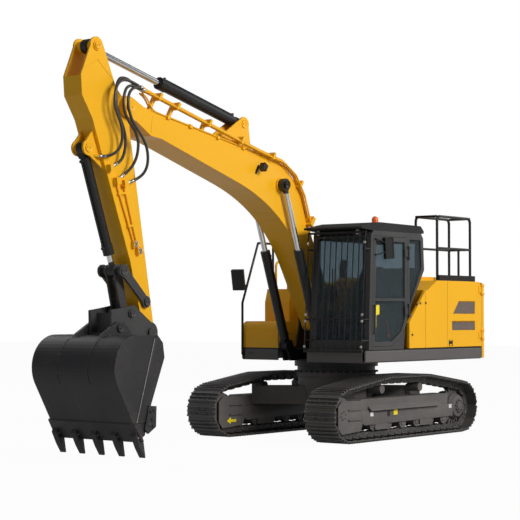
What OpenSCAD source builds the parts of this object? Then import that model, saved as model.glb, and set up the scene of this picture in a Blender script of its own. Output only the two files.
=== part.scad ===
// Crawler excavator, standing on its tracks with the boom raised and the bucket let down.
// Millimetres. +X runs forward to the bucket, +Y to the cab's side, +Z up, ground at zero.

/* [Tracks] */
// Width of a track shoe
shoe_w = 500; // [420:10:560]
// Distance between the centre lines of the two tracks
track_gauge = 1990; // [1940:10:2100]
// Distance from the idler axle to the sprocket axle
wheelbase = 2920; // [2700:10:3200]
// Radius over the grousers at the ends of a track
track_end_r = 366; // [356:1:380]
// Height of a grouser bar
grouser_h = 24; // [16:1:30]
// Thickness of a shoe plate
shoe_t = 14; // [10:1:18]
// Height of a chain link
link_h = 90; // [80:1:100]
// Number of shoes on one track
shoe_count = 45; // [40:1:50]
// Radius of a lower roller
roller_r = 75; // [65:1:80]
// Number of lower rollers on one side
roller_count = 7; // [5:1:8]
// Radius of a carrier roller
carrier_r = 60; // [50:1:70]
// Height of the carrier roller axles
carrier_z = 675; // [660:1:690]
// Distance of a carrier roller from the middle of the track
carrier_x = 480; // [400:10:560]

/* [Upper structure] */
// Width of the platform
platform_w = 2490; // [2460:10:2600]
// Underside of the platform above the ground
platform_z = 1041; // [1020:1:1080]
// Height of the platform frame
platform_h = 171; // [150:1:200]
// Front edge of the platform under the cab, ahead of the swing axis
cab_deck_x = 1106; // [1060:1:1160]
// Front edge of the platform on the right side, ahead of the swing axis
right_deck_x = 578; // [500:1:640]
// Tail swing radius of the counterweight
tail_r = 2360; // [2330:10:2450]
// Seam between the side doors and the counterweight, behind the swing axis
weight_seam_x = 1941; // [1900:1:1960]
// Top of the engine house
house_z = 2162; // [2100:1:2220]
// Thickness of a side panel or side door
panel_t = 40; // [25:1:50]
// Gap along the seams of doors and covers
seam = 6; // [5:1:10]

/* [Cab] */
// Right wall of the cab, from the middle of the machine
cab_y0 = 300; // [292:1:340]
// Left wall of the cab, from the middle of the machine
cab_y1 = 1240; // [1200:1:1245]
// Height of the cab roof above the ground
cab_roof_z = 2800; // [2700:1:2900]
// Front of the cab at the floor
cab_front_x = 1016; // [980:1:1030]
// Backward lean of the windscreen over its height
cab_lean = 56; // [0:1:120]
// Thickness of the cab walls and of the door
cab_t = 46; // [40:1:60]
// Number of upright bars in the front guard
guard_bars = 11; // [7:1:15]
// Radius of a guard bar
guard_r = 8; // [6:1:10]

/* [Boom] */
// Sideways place of the boom, to the left of the middle
boom_y = -70; // [-90:1:-60]
// Boom foot pin ahead of the swing axis
foot_x = 335; // [315:1:355]
// Boom foot pin above the ground
foot_z = 1590; // [1570:1:1620]
// Length of the boom from foot pin to tip pin
boom_len = 4889; // [4800:1:5000]
// Upward angle of the boom's chord as it stands
boom_angle = 31.8; // [30:0.1:34]
// Width of the boom box
boom_w = 420; // [400:2:424]
// Height of the knee's top above the chord
knee_top = 1185; // [1150:1:1230]
// Height of the knee's underside above the chord
knee_under = 562; // [520:1:600]
// Thickness of the boom plates
boom_t = 14; // [10:1:20]

/* [Arm] */
// Length of the arm from pivot pin to tip pin
arm_len = 2733; // [2700:1:2780]
// Direction of the arm as it stands, from the forward level
arm_angle = -98.6; // [-100:0.1:-97]
// Width of the arm box
arm_w = 290; // [270:2:296]
// Thickness of the arm plates
arm_t = 12; // [10:1:16]

/* [Bucket] */
// Outer width of the bucket
bucket_w = 1340; // [1200:10:1400]
// Radius of the bucket's curved back
bucket_r = 385; // [370:1:395]
// Thickness of the bucket plates
bucket_t = 22; // [16:1:28]
// Number of teeth
tooth_count = 5; // [4:1:6]
// Length of a tooth past the lip
tooth_len = 188; // [150:1:190]

/* [Cylinders] */
// Outer radius of a boom cylinder barrel
boom_barrel_r = 65; // [60:1:66]
// Radius of a boom cylinder rod
boom_rod_r = 38; // [34:1:42]
// Outer radius of the arm cylinder barrel
arm_barrel_r = 70; // [62:1:75]
// Radius of the arm cylinder rod
arm_rod_r = 40; // [36:1:44]
// Outer radius of the bucket cylinder barrel
bucket_barrel_r = 60; // [54:1:64]
// Radius of the bucket cylinder rod
bucket_rod_r = 35; // [30:1:38]
// Sideways place of a boom cylinder from the middle of the boom
boom_cyl_y = 284; // [283:1:288]
// Running clearance between a pin and its bore, or a rod and its gland
fit = 0.1; // [0.05:0.01:0.3]
// Sideways gap between an eye and the ears beside it
side_gap = 6; // [5:1:8]

/* [Hidden] */
$fn = 48;
eps = 1;

// Directions and outlines
function unit(v) = v / norm(v);
function left_of(v) = [-v[1], v[0]];
function inset(outline, d) = let (n = len(outline)) [for (i = [0:n - 1])
  let (b = outline[i],
    n1 = left_of(unit(b - outline[(i + n - 1) % n])),
    n2 = left_of(unit(outline[(i + 1) % n] - b)))
  b + d * (n1 + n2) / (1 + n1 * n2)];
function arc(c, r, a0, a1, n) = [for (i = [0:n]) let (a = a0 + (a1 - a0) * i / n) c + r * [cos(a), sin(a)]];
function bend(a, b, c, d, n) = [for (i = [0:n]) let (t = i / n)
  a * pow(1 - t, 3) + b * 3 * t * pow(1 - t, 2) + c * 3 * t * t * (1 - t) + d * pow(t, 3)];
function turned(o, a, p) = o + p[0] * [cos(a), sin(a)] + p[1] * [-sin(a), cos(a)];

// Heights of the track and of the platform
shoe_r = track_end_r - grouser_h - shoe_t;
rail_r = shoe_r - link_h;
axle_x = wheelbase / 2;
rail_z = grouser_h + shoe_t + link_h;
roller_z = rail_z + roller_r + eps;
frame_w = 250;
frame_z0 = 300;
frame_z1 = 560;
deck_z = platform_z + platform_h;
half_w = platform_w / 2;
swing_r = 560;
swing_z = 960;
car_z0 = 430;
car_z1 = 860;

// Pins of the boom, arm, cylinders and bucket links, each as [x, z]
boom_foot = [foot_x, foot_z];
boom_tip = turned(boom_foot, boom_angle, [boom_len, 0]);
arm_tip = turned(boom_tip, arm_angle, [arm_len, 0]);
boom_base_pin = [foot_x + 379, foot_z - 340];
hose_r = 18;
hose_sides = 10;
hose_route_1 = [[4296, 146, 4423], [4355, 147, 4437], [4450, 158, 4458], [4585, 180, 4472],
  [4715, 205, 4448], [4805, 222, 4380], [4850, 232, 4275], [4855, 235, 4155], [4810, 235, 4040],
  [4745, 230, 3930], [4715, 225, 3815], [4720, 215, 3710], [4750, 198, 3635], [4800, 170, 3580],
  [4862, 128, 3550], [4928, 77, 3545]];
hose_route_2 = [[4297, 106, 4423], [4355, 107, 4437], [4450, 115, 4475], [4545, 126, 4502],
  [4665, 142, 4490], [4745, 165, 4412], [4790, 185, 4285], [4785, 195, 4165], [4750, 198, 4050],
  [4685, 195, 3935], [4630, 188, 3825], [4615, 180, 3705], [4622, 172, 3610], [4650, 158, 3530],
  [4698, 138, 3477], [4756, 118, 3437]];
hose_route_3 = [[4321, 166, 4384], [4380, 167, 4398], [4470, 178, 4412], [4560, 195, 4405],
  [4645, 215, 4355], [4695, 230, 4255], [4705, 240, 4145], [4670, 240, 4045], [4590, 240, 3945],
  [4495, 230, 3860], [4440, 225, 3755], [4430, 215, 3650], [4450, 200, 3540], [4495, 170, 3440],
  [4560, 138, 3365], [4628, 114, 3308]];
hose_route_4 = [[4321, 206, 4384], [4380, 207, 4398], [4470, 215, 4395], [4560, 232, 4360],
  [4630, 250, 4290], [4655, 262, 4190], [4640, 268, 4085], [4590, 270, 3985], [4505, 270, 3895],
  [4405, 265, 3800], [4325, 258, 3690], [4285, 245, 3560], [4285, 222, 3445], [4322, 187, 3360],
  [4395, 150, 3302], [4486, 122, 3262]];
boom_rod_local = [1964, knee_top - 251];
boom_rod_pin = turned(boom_foot, boom_angle, boom_rod_local);
arm_base_local = [2905, knee_top + 72];
arm_base_pin = turned(boom_foot, boom_angle, arm_base_local);
arm_rod_local = [-748, 402];
arm_rod_pin = turned(boom_tip, arm_angle, arm_rod_local);
bucket_base_local = [434, 664];
bucket_base_pin = turned(boom_tip, arm_angle, bucket_base_local);
rocker_local = [arm_len - 379, 16];
rocker_pin = turned(boom_tip, arm_angle, rocker_local);
link_top_local = [arm_len - 804, 356];
link_top_pin = turned(boom_tip, arm_angle, link_top_local);
link_pin = arm_tip + [349, 235];
pin_r = 38;
big_pin_r = 45;

// Middle of the whole length, which becomes the origin
nose_local = [-184, 735];
front_x = max(turned(boom_tip, arm_angle, nose_local)[0], arm_tip[0] + 773 + bucket_r);
origin_x = (front_x - tail_r) / 2;

// Colours
yellow = "#f5ae22";
charcoal = "#4a4a4c";
black = "#222224";
chrome = "#c8ccd0";

// Places everything in the shared frame
module placed() {
  translate([-origin_x, 0, 0]) children();
}

// Spreads an outline of the XZ plane from y0 to y1
module across(y0, y1) {
  translate([0, y1, 0]) rotate([90, 0, 0]) linear_extrude(y1 - y0) children();
}

// Round bar along Y
module bar_y(p, y0, y1, r) {
  translate([p[0], y1, p[1]]) rotate([90, 0, 0]) cylinder(h = y1 - y0, r = r);
}

// Round bar between two points
module bar(a, b, r) {
  d = b - a;
  translate(a) rotate([0, acos(d[2] / norm(d)), atan2(d[1], d[0])]) cylinder(h = norm(d), r = r);
}

// Bent tube along a path, each bend a piece of a ring
function bend_angle(path, i) = acos(unit(path[i] - path[i - 1]) * unit(path[i + 1] - path[i]));
function bend_run(path, i, bend_r) = i == 0 || i == len(path) - 1 ? 0 : bend_r * tan(bend_angle(path,
    i) / 2);
function bend_lap(path, i) = i == 0 || i == len(path) - 1 ? 0 : 2;
module tube(path, r, bend_r = 70) {
  last = len(path) - 1;
  for (i = [0:last - 1]) {
    d = unit(path[i + 1] - path[i]);
    bar(path[i] + d * (bend_run(path, i, bend_r) - bend_lap(path, i)),
      path[i + 1] - d * (bend_run(path, i + 1, bend_r) - bend_lap(path, i + 1)), r);
  }
  for (i = [1:last - 1]) {
    d = unit(path[i] - path[i - 1]);
    m = cross(unit(cross(d, path[i + 1] - path[i])), d);
    polar = acos(d[2]);
    azimuth = atan2(d[1], d[0]);
    ex = [cos(azimuth) * cos(polar), sin(azimuth) * cos(polar), -sin(polar)];
    ey = [-sin(azimuth), cos(azimuth), 0];
    translate(path[i]) rotate([0, polar, azimuth]) rotate([0, 0, atan2(m * ey, m * ex)])
      translate([bend_r, 0, -bend_run(path, i, bend_r)]) rotate([90, 0, 180])
      rotate_extrude(angle = bend_angle(path, i)) translate([bend_r, 0]) circle(r + 1);
  }
}

// Box between two corners
module box(a, b) {
  translate(a) cube(b - a);
}

// Plane of the boom, drawn along its chord from the foot pin
module boom_frame() {
  translate([foot_x, boom_y, foot_z]) rotate([0, -boom_angle, 0]) children();
}

// Plane of the arm, drawn along its length from the pivot pin
module arm_frame() {
  translate([boom_tip[0], boom_y, boom_tip[1]]) rotate([0, -arm_angle, 0]) children();
}

// Plane of the bucket, drawn from the arm's tip pin
module bucket_frame() {
  translate([arm_tip[0], boom_y, arm_tip[1]]) children();
}

// Line from one pin to another, with +X along it
module between(a, b, y) {
  d = b - a;
  translate([a[0], y, a[1]]) rotate([0, -atan2(d[1], d[0]), 0]) children();
}

// Track path: a belt round the sprocket, the idler and the two carrier rollers
belt_c = [[-axle_x, track_end_r], [axle_x, track_end_r], [carrier_x, carrier_z], [-carrier_x, carrier_z]];
carrier_wrap = carrier_r + link_h + eps;
function belt_r(d) = [shoe_r + d, shoe_r + d, carrier_wrap + d, carrier_wrap + d];
function leave_angle(i, r) = let (j = (i + 1) % 4, v = belt_c[j] - belt_c[i])
  atan2(v[1], v[0]) - acos((r[i] - r[j]) / norm(v));
function wrap(a, low) = a < low ? wrap(a + 360, low) : a;
function belt_outline(d) = let (r = belt_r(d)) [for (i = [0:3])
  let (a0 = leave_angle((i + 3) % 4, r),
    a1 = wrap(leave_angle(i, r), a0),
    n = max(1, ceil((a1 - a0) / 12)))
  each arc(belt_c[i], r[i], a0, a1, n)];
belt = belt_outline(0);
belt_n = len(belt);
belt_steps = [for (i = [0:belt_n - 1]) norm(belt[(i + 1) % belt_n] - belt[i])];
function run_to(i) = i == 0 ? 0 : run_to(i - 1) + belt_steps[i - 1];
belt_runs = [for (i = [0:belt_n]) run_to(i)];
function belt_index(s, i = 0) = s < belt_runs[i + 1] ? i : belt_index(s, i + 1);
function belt_at(s) = let (i = belt_index(s), t = (s - belt_runs[i]) / belt_steps[i])
  belt[i] * (1 - t) + belt[(i + 1) % belt_n] * t;
shoe_pitch = belt_runs[belt_n] / shoe_count;
grouser_foot = 26;
grouser_top = 12;
grouser_step = shoe_pitch * 0.35;
// Outline of the shoes round the whole loop, three grousers on each shoe
shoe_outline = [for (k = [0:shoe_count - 1])
  let (s = k * shoe_pitch + 1,
    a = belt_at(s),
    b = belt_at(min(s + shoe_pitch * 0.96, belt_runs[belt_n] - 0.5)),
    t = unit(b - a),
    out = -left_of(t),
    m = (a + b) / 2)
  for (g = [-1:1]) each [
    m + t * (g * grouser_step - grouser_foot / 2) + out * shoe_t,
    m + t * (g * grouser_step - grouser_top / 2) + out * (shoe_t + grouser_h),
    m + t * (g * grouser_step + grouser_top / 2) + out * (shoe_t + grouser_h),
    m + t * (g * grouser_step + grouser_foot / 2) + out * shoe_t]];
rail_in = 50;
rail_out = 96;

module track() {
  color(charcoal) {
    across(-shoe_w / 2, shoe_w / 2) difference() {
      polygon(shoe_outline);
      polygon(belt);
    }
    for (s = [-1, 1]) across(min(s * rail_in, s * rail_out), max(s * rail_in, s * rail_out)) difference() {
      polygon(belt_outline(3));
      polygon(belt_outline(-link_h));
    }
  }
}

module track_left() {
  placed() translate([0, track_gauge / 2, 0]) track();
}

module track_right() {
  placed() translate([0, -track_gauge / 2, 0]) track();
}

// Both track sides, each about its own centre line
module both_tracks() {
  for (s = [-1, 1]) translate([0, s * track_gauge / 2, 0]) children();
}

// Idler wheel with its axle and the slide blocks that seat in the frame's yoke
idler_r = rail_r - 2;
module idlers() {
  color(charcoal) placed() both_tracks() translate([axle_x, 0, track_end_r]) rotate([90, 0, 0]) {
    rotate_extrude() polygon([[0, -96], [idler_r, -96], [idler_r, -40], [idler_r + 22, -36],
      [idler_r + 22, 36], [idler_r, 40], [idler_r, 96], [idler_r - 40, 96], [idler_r - 60, 60],
      [110, 60], [90, 104], [0, 104]]);
    cylinder(h = frame_w - 2, r = 45, center = true);
  }
}

// Toothed sprocket rings
tooth_n = 21;
module sprockets() {
  color(charcoal) placed() both_tracks() translate([-axle_x, 0, track_end_r]) rotate([90, 0,
      0]) difference() {
    linear_extrude(64, center = true) polygon([for (k = [0:tooth_n - 1])
      let (a = k * 360 / tooth_n)
      each [for (q = [[-6.2, rail_r - 22], [-2.6, rail_r + 34], [2.6, rail_r + 34], [6.2, rail_r - 22]])
        q[1] * [cos(a + q[0]), sin(a + q[0])]]]);
    cylinder(h = 80, r = 120, center = true);
  }
}

// Drive hubs that carry the sprockets on the frames' rear plates
module final_drives() {
  color(charcoal) placed() for (s = [-1, 1])
    translate([-axle_x, s * track_gauge / 2, track_end_r]) rotate([-90 * s, 0, 0]) rotate_extrude()
      polygon([[0, -150], [165, -150], [165, -60], [119.5, -60], [119.5, 33], [185, 33], [185, 70],
        [150, 130], [70, 142], [70, 152], [0, 152]]);
}

// Lower rollers with their shafts and end blocks under the frame
module lower_rollers() {
  pitch = (wheelbase - 760) / (roller_count - 1);
  color(black) placed() both_tracks() for (k = [0:roller_count - 1])
    translate([(k - (roller_count - 1) / 2) * pitch, 0, roller_z]) {
      rotate([90, 0, 0]) rotate_extrude() polygon([[0, -104], [roller_r, -104], [roller_r, -47],
        [roller_r - 12, -40], [roller_r - 12, 40], [roller_r, 47], [roller_r, 104], [0, 104]]);
      for (s = [-1, 1]) translate([-38, s * 114 - 10, -30]) cube([76, 20, frame_z0 - roller_z + 30]);
    }
}

// Carrier rollers on their posts
module carrier_rollers() {
  color(black) placed() both_tracks() for (s = [-1, 1]) translate([s * carrier_x, 0, 0]) {
    translate([0, 0, carrier_z]) rotate([90, 0, 0]) cylinder(h = 196, r = carrier_r, center = true);
    box([-34, -122, frame_z1], [34, -98, carrier_z + 34]);
  }
}

// Side frames of the tracks: sloped top, idler yoke in front, motor plate at the rear
yoke_x = axle_x - idler_r - 50;
motor_x = axle_x - rail_r - 52;
module track_frames() {
  top = [[-motor_x, frame_z0], [yoke_x, frame_z0], [yoke_x, frame_z1 - 70], [yoke_x - 160, frame_z1],
    [-motor_x, frame_z1]];
  color(charcoal) placed() for (s = [-1, 1]) translate([0, s * track_gauge / 2, 0]) {
    across(-frame_w / 2, frame_w / 2) difference() {
      polygon(top);
      polygon(inset(top, 14));
    }
    for (e = [-1, 1]) across(e * (frame_w / 2 - 6) - 6, e * (frame_w / 2 - 6) + 6) difference() {
      polygon(top);
      translate([0, frame_z0 + 120]) square([220, 70], center = true);
    }
    // Sloped cover on the outside of the beam
    translate([0, s * frame_w / 2, 0]) rotate([90, 0, 90]) linear_extrude(wheelbase - 1180, center = true)
      polygon([[0, frame_z1 - 90], [s * 62, frame_z1 - 150], [s * 62, frame_z1 - 160], [0,
          frame_z1 - 110]]);
    // Yoke plates beside the idler
    for (e = [-1, 1]) across(e * (frame_w / 2 - 10) - 10, e * (frame_w / 2 - 10) + 10) difference() {
      union() {
        translate([yoke_x - 60, frame_z0]) square([axle_x - yoke_x + 60, 150]);
        translate([axle_x, track_end_r]) circle(84);
      }
      translate([axle_x, track_end_r]) circle(45 + fit);
    }
    // Motor plate that carries the drive hub on the inner side
    across(min(-s * 125, -s * 151), max(-s * 125, -s * 151)) difference() {
      union() {
        translate([-axle_x, frame_z0]) square([axle_x - motor_x + 160, frame_z1 - frame_z0 - 40]);
        translate([-axle_x, track_end_r]) circle(205);
      }
      translate([-axle_x, track_end_r]) circle(165 + fit);
    }
    // Guide plates between the lower rollers
    for (x = [-560, 560]) for (e = [-1, 1])
      box([x - 150, e * 132 - 7, rail_z + 14], [x + 150, e * 132 + 7, frame_z0 + 60]);
  }
}

// Car body with its drum and four legs to the track frames
leg_x = 640;
tie_hole_r = 32;
tie_x = swing_r + 90;
tie_t = 40;
module tie_lugs() {
  color(charcoal) placed() for (s = [-1, 1]) translate([0, 0,
      car_z0 - tie_t]) linear_extrude(tie_t) difference() {
    polygon([[s * (swing_r - 170), -90], [s * tie_x, -70], [s * (tie_x + 70), -30], [s * (tie_x + 70),
        30], [s * tie_x, 70],
      [s * (swing_r - 170), 90]]);
    translate([s * (tie_x - 10), 0]) circle(tie_hole_r);
  }
}

module car_body() {
  inner_y = track_gauge / 2 - frame_w / 2;
  color(charcoal) placed() {
    difference() {
      translate([0, 0, car_z0]) cylinder(h = car_z1 - car_z0, r = swing_r - 20);
      translate([0, 0, car_z0 + 30]) cylinder(h = car_z1, r = swing_r - 150);
    }
    translate([0, 0, car_z1 - 40]) difference() {
      cylinder(h = 60, r = swing_r);
      translate([0, 0, -eps]) cylinder(h = 80, r = swing_r - 150);
    }
    for (sx = [-1, 1]) for (sy = [-1, 1]) difference() {
      mirror([sx < 0 ? 1 : 0, 0, 0]) mirror([0, sy < 0 ? 1 : 0, 0]) translate([0, 0,
          car_z0]) linear_extrude(250)
        polygon([[120, 400], [480, 120], [leg_x + 190, inner_y], [leg_x - 190, inner_y]]);
      cylinder(h = 2000, r = swing_r - 151);
    }
  }
}

module swing_ring_lower() {
  color(black) placed() translate([0, 0, car_z1 + 20]) difference() {
    cylinder(h = swing_z - car_z1 - 20, r = swing_r - 10);
    translate([0, 0, -eps]) cylinder(h = 200, r = swing_r - 110);
  }
}

module swing_ring_upper() {
  color(black) placed() translate([0, 0, swing_z + 0.3]) difference() {
    cylinder(h = platform_z - swing_z - 0.3, r = swing_r + 30);
    translate([0, 0, -eps]) cylinder(h = 200, r = swing_r - 110);
  }
}

// Main frame of the upper structure: deck, two long plates with the boom's ears, and the cylinders' ears
ear_gap = boom_w / 2 + 5;
ear_t = 25;
plate_t = 16;
boom_eye_w = 76;
base_ear_y = boom_cyl_y + boom_eye_w / 2 + 3;
foot_deck_x = boom_base_pin[0] - 150;
module main_plate() {
  union() {
    translate([-weight_seam_x - seam, platform_z]) square([weight_seam_x + seam + foot_deck_x, platform_h]);
    polygon([[foot_x - 420, deck_z - eps], [foot_deck_x, deck_z - eps], [foot_x + 140, foot_z],
      [foot_x - 140, foot_z]]);
    translate(boom_foot) circle(150);
  }
}

module base_ear() {
  union() {
    polygon([[foot_deck_x - 60, platform_z], [boom_base_pin[0] - 20, platform_z],
      [boom_base_pin[0] + 80, boom_base_pin[1]], [boom_base_pin[0] - 80, boom_base_pin[1]],
      [foot_deck_x - 60, deck_z]]);
    translate(boom_base_pin) circle(82);
  }
}

module platform() {
  deck = [[-weight_seam_x, -half_w + 8], [right_deck_x, -half_w + 8], [right_deck_x, -596],
    [foot_deck_x, -520], [foot_deck_x, cab_y0 - 25], [cab_deck_x - 20, cab_y0 - 10],
    [cab_deck_x - 20, half_w - 8], [-weight_seam_x, half_w - 8]];
  color(black) placed() {
    translate([0, 0, deck_z - plate_t]) linear_extrude(plate_t) polygon(deck);
    translate([0, 0, platform_z]) linear_extrude(20) difference() {
      polygon([[-1100, -640], [foot_deck_x, -500], [foot_deck_x, cab_y0 - 40], [-1100, 640]]);
      circle(swing_r - 110);
    }
    for (s = [-1, 1]) translate([0, boom_y, 0]) {
      y0 = s * ear_gap;
      across(min(y0, y0 + s * ear_t), max(y0, y0 + s * ear_t)) union() {
        main_plate();
        base_ear();
      }
      y2 = s * base_ear_y;
      across(min(y2, y2 + s * ear_t), max(y2, y2 + s * ear_t)) base_ear();
      bar_y(boom_base_pin, min(y0, y2 + s * ear_t), max(y0, y2 + s * ear_t), pin_r);
    }
    bar_y(boom_foot, boom_y - ear_gap - ear_t - 14, boom_y + ear_gap + ear_t + 14, big_pin_r);
    // Cross beams under the deck
    for (x = [-1500, -700]) box([x - 40, -half_w + skirt_t + 2, platform_z + 30], [x + 40,
        half_w - skirt_t - 2, deck_z - plate_t]);
  }
}

// Rounded side skirts and the front beams
skirt_t = 56;
module skirt_section() {
  polygon([[0, 0], [skirt_t - 26, 0], each arc([skirt_t - 26, 30], 26, -80, 0, 6),
    each arc([skirt_t - 14, platform_h - 26], 14, 0, 70, 4), [skirt_t - 30, platform_h], [0, platform_h]]);
}

module side_skirts() {
  color(charcoal) placed() {
    translate([-weight_seam_x, half_w - skirt_t, platform_z]) rotate([90, 0, 90])
      linear_extrude(weight_seam_x + cab_deck_x) difference() {
        skirt_section();
        translate([-eps, platform_h - plate_t - eps]) square([skirt_t - 8 + eps, plate_t + 2 * eps]);
        translate([-eps, 10]) square([skirt_t - 20, platform_h - plate_t - 20]);
      }
    mirror([0, 1, 0]) translate([-weight_seam_x, half_w - skirt_t, platform_z]) rotate([90, 0, 90])
      linear_extrude(weight_seam_x + right_deck_x) difference() {
        skirt_section();
        translate([-eps, platform_h - plate_t - eps]) square([skirt_t - 8 + eps, plate_t + 2 * eps]);
        translate([-eps, 10]) square([skirt_t - 20, platform_h - plate_t - 20]);
      }
    box([cab_deck_x - 20, cab_y0 - 10, platform_z], [cab_deck_x, half_w - skirt_t, deck_z]);
    box([right_deck_x - 20, -half_w + skirt_t, platform_z], [right_deck_x, -600, deck_z - plate_t]);
  }
}

// Cast counterweight with a round back and a sloped top edge
module weight_hinges() {
  for (z = door_hinge_z) {
    for (zz = [z - 31, z + hinge_h + 1]) {
      translate([left_hinge[0], left_hinge[1], zz]) cylinder(h = 30, r = hinge_r);
      box([-weight_seam_x - seam - 50, half_w - eps, zz], [-weight_seam_x - seam, left_hinge[1], zz + 30]);
      box([-weight_seam_x - seam - 2, half_w + 7, zz], [left_hinge[0], left_hinge[1], zz + 30]);
    }
    translate([left_hinge[0], left_hinge[1], z - 2]) cylinder(h = hinge_h + 4, r = hinge_pin_r);
  }
}

// Depth of the flat side at each corner, then the radius that runs from corner to corner through the tail
weight_side = 58;
back_rise = tail_r - weight_seam_x - seam - weight_side;
back_r = (half_w * half_w + back_rise * back_rise) / (2 * back_rise);
module counterweight() {
  color(yellow) placed() {
    weight_hinges();
    mirror([0, 1, 0]) weight_hinges();
  }
  color(yellow) placed() intersection() {
    translate([back_r - tail_r, 0, platform_z]) cylinder(h = house_z, r = back_r, $fn = 96);
    across(-half_w, half_w) polygon([[-weight_seam_x - seam, platform_z + 10], [-weight_seam_x - seam,
        house_z - 12],
      [-weight_seam_x - 70, house_z - 40], [-tail_r + 130, house_z - 110], each
      arc([-tail_r + 120, house_z - 240], 120, 100, 180, 6), [-tail_r, platform_z + 160],
      [-tail_r + 90, platform_z + 10]]);
  }
}

module engine_block() {
  color("#6a6a6a") placed() box([-1780, -420, deck_z], [-1080, 330, deck_z + 700]);
}

// Engine house: bulkhead behind the cab, top covers and rear posts
bulkhead_x = -400;
cover_y = 690;
cover_t = 36;
hood_z = house_z + 70;
hood_x0 = -weight_seam_x + 4;
hood_x1 = -950;
hood_y = cover_y - seam;
hood_hinge = [hood_x1 + 6, house_z + 16];
hood_hinge_y = [-hood_y + 120, hood_y - 220];
module top_cover(y0, y1, x0, x1) {
  across(y0, y1) polygon([[x0, house_z - cover_t], [-700, house_z - cover_t], [-470,
      house_z - 137 - cover_t],
    [x1, house_z - 137 - cover_t], [x1, house_z - 137], [-453, house_z - 137], [-693, house_z], [x0,
        house_z]]);
}

module house_frame() {
  color(yellow) placed() {
    top_cover(cover_y, half_w - panel_t - 1, -weight_seam_x, bulkhead_x);
    box([-weight_seam_x, -half_w + panel_t + 1, house_z - cover_t], [tank_x0 - 60, -cover_y, house_z]);
    box([bulkhead_x - 30, -800, deck_z], [bulkhead_x, half_w - panel_t - 42,
        house_z - 137 - cover_t + eps]);
    for (s = [-1, 1]) box([-weight_seam_x, s * (cover_y + 60) - 60, deck_z],
      [-weight_seam_x + 40, s * (cover_y + 60) + 60, house_z - cover_t + eps]);
    box([-weight_seam_x, -cover_y, house_z - 90], [-weight_seam_x + 40, cover_y, house_z - cover_t]);
    box([-980, -cover_y - 20, house_z - 90], [-940, cover_y + 20, house_z - cover_t]);
    box([-940 - eps, -cover_y - 20, house_z - 200], [bulkhead_x - 20, cover_y + 20, house_z - 150]);
    for (s = [-1, 1]) box([-980, s * (cover_y - 20) - 20, deck_z], [-940, s * (cover_y - 20) + 20,
        house_z - cover_t]);
    // Lugs and pins of the hood's hinges
    for (y = hood_hinge_y) {
      for (y0 = [y - 15, y + hinge_h + 1]) {
        across(y0, y0 + 14) polygon([[-975, house_z - cover_t - eps], [-941, house_z - cover_t - eps],
          [hood_hinge[0] + 9, hood_hinge[1]], [hood_hinge[0] - 9, hood_hinge[1]]]);
        bar_y(hood_hinge, y0, y0 + 14, hinge_r);
      }
      bar_y(hood_hinge, y - 2, y + hinge_h + 2, hinge_pin_r);
    }
  }
}

// Left side panels between the cab and the grille door
left_seam_1 = -386;
left_seam_2 = -974;
module left_panels() {
  y0 = half_w - panel_t;
  color(yellow) placed() {
    across(y0, half_w) polygon([[left_seam_1 + seam / 2, deck_z + 10], [32, deck_z + 10], [30, 1580],
      [left_seam_1 + seam / 2, house_z - 152]]);
    across(y0, half_w) polygon([[left_seam_2 + seam / 2, deck_z + 10], [left_seam_1 - seam / 2,
        deck_z + 10],
      [left_seam_1 - seam / 2, house_z - 150], [-453, house_z - 137], [-693, house_z],
          [left_seam_2 + seam / 2, house_z]]);
    // Inner frame that carries both panels on the deck
    for (x = [left_seam_2 + 30, left_seam_1 - 120, -40])
      box([x, y0 - 40, deck_z], [x + 40, y0 + eps, x < -100 ? house_z - 190 : 1500]);
    box([left_seam_2 + 30, y0 - 40, deck_z], [0, y0 + eps, deck_z + 50]);
  }
}

// Door with the two grille openings, hinged at its rear edge
hinge_r = 11;
hinge_pin_r = 6;
hinge_h = 90;
left_hinge = [-weight_seam_x + 22, half_w + 16];
door_hinge_z = [deck_z + 130, house_z - 160];
module grille(points) {
  difference() {
    polygon(points);
    polygon(inset(points, 14));
  }
}

upper_grille = [[-1743, house_z - 468], [-1131, house_z - 468], [-1290, house_z - 285], [-1745,
    house_z - 285]];
lower_grille = [[-1742, house_z - 703], [-1099, house_z - 703], [-1099, house_z - 570], [-1742,
    house_z - 570]];
module side_door() {
  y0 = half_w - panel_t;
  outline = [[-weight_seam_x + 2, deck_z + 10], [left_seam_2 - seam / 2, deck_z + 10],
      [left_seam_2 - seam / 2, house_z],
    [-1802, house_z], [-weight_seam_x + 2, house_z - 49]];
  across(y0, half_w) difference() {
    polygon(outline);
    polygon(upper_grille);
    polygon(lower_grille);
  }
  across(y0 + 8, y0 + 28) intersection() {
    union() {
      polygon(upper_grille);
      polygon(lower_grille);
    }
    for (k = [0:24]) translate([-1900, house_z - 710 + k * 26]) square([900, 16]);
  }
  for (g = [upper_grille, lower_grille]) across(y0 + 6, half_w - 4) for (x = [-1590, -1420, -1260])
    intersection() {
      polygon(g);
      translate([x, 0]) square([14, 3000]);
    }
  // Hinge leaves and knuckles
  for (z = door_hinge_z) difference() {
    union() {
      box([left_hinge[0] - 2, half_w - eps, z], [left_hinge[0] + 70, half_w + 10, z + hinge_h]);
      translate([left_hinge[0], left_hinge[1], z]) cylinder(h = hinge_h, r = hinge_r);
    }
    translate([left_hinge[0], left_hinge[1], z - eps]) cylinder(h = hinge_h + 2 * eps,
        r = hinge_pin_r + fit);
  }
  // Latch
  box([left_seam_2 - 110, half_w - eps, deck_z + 30], [left_seam_2 - 50, half_w + 6, deck_z + 110]);
}

module left_door() {
  color(yellow) placed() side_door();
}

module right_door() {
  color(yellow) placed() mirror([0, 1, 0]) side_door();
}

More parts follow.
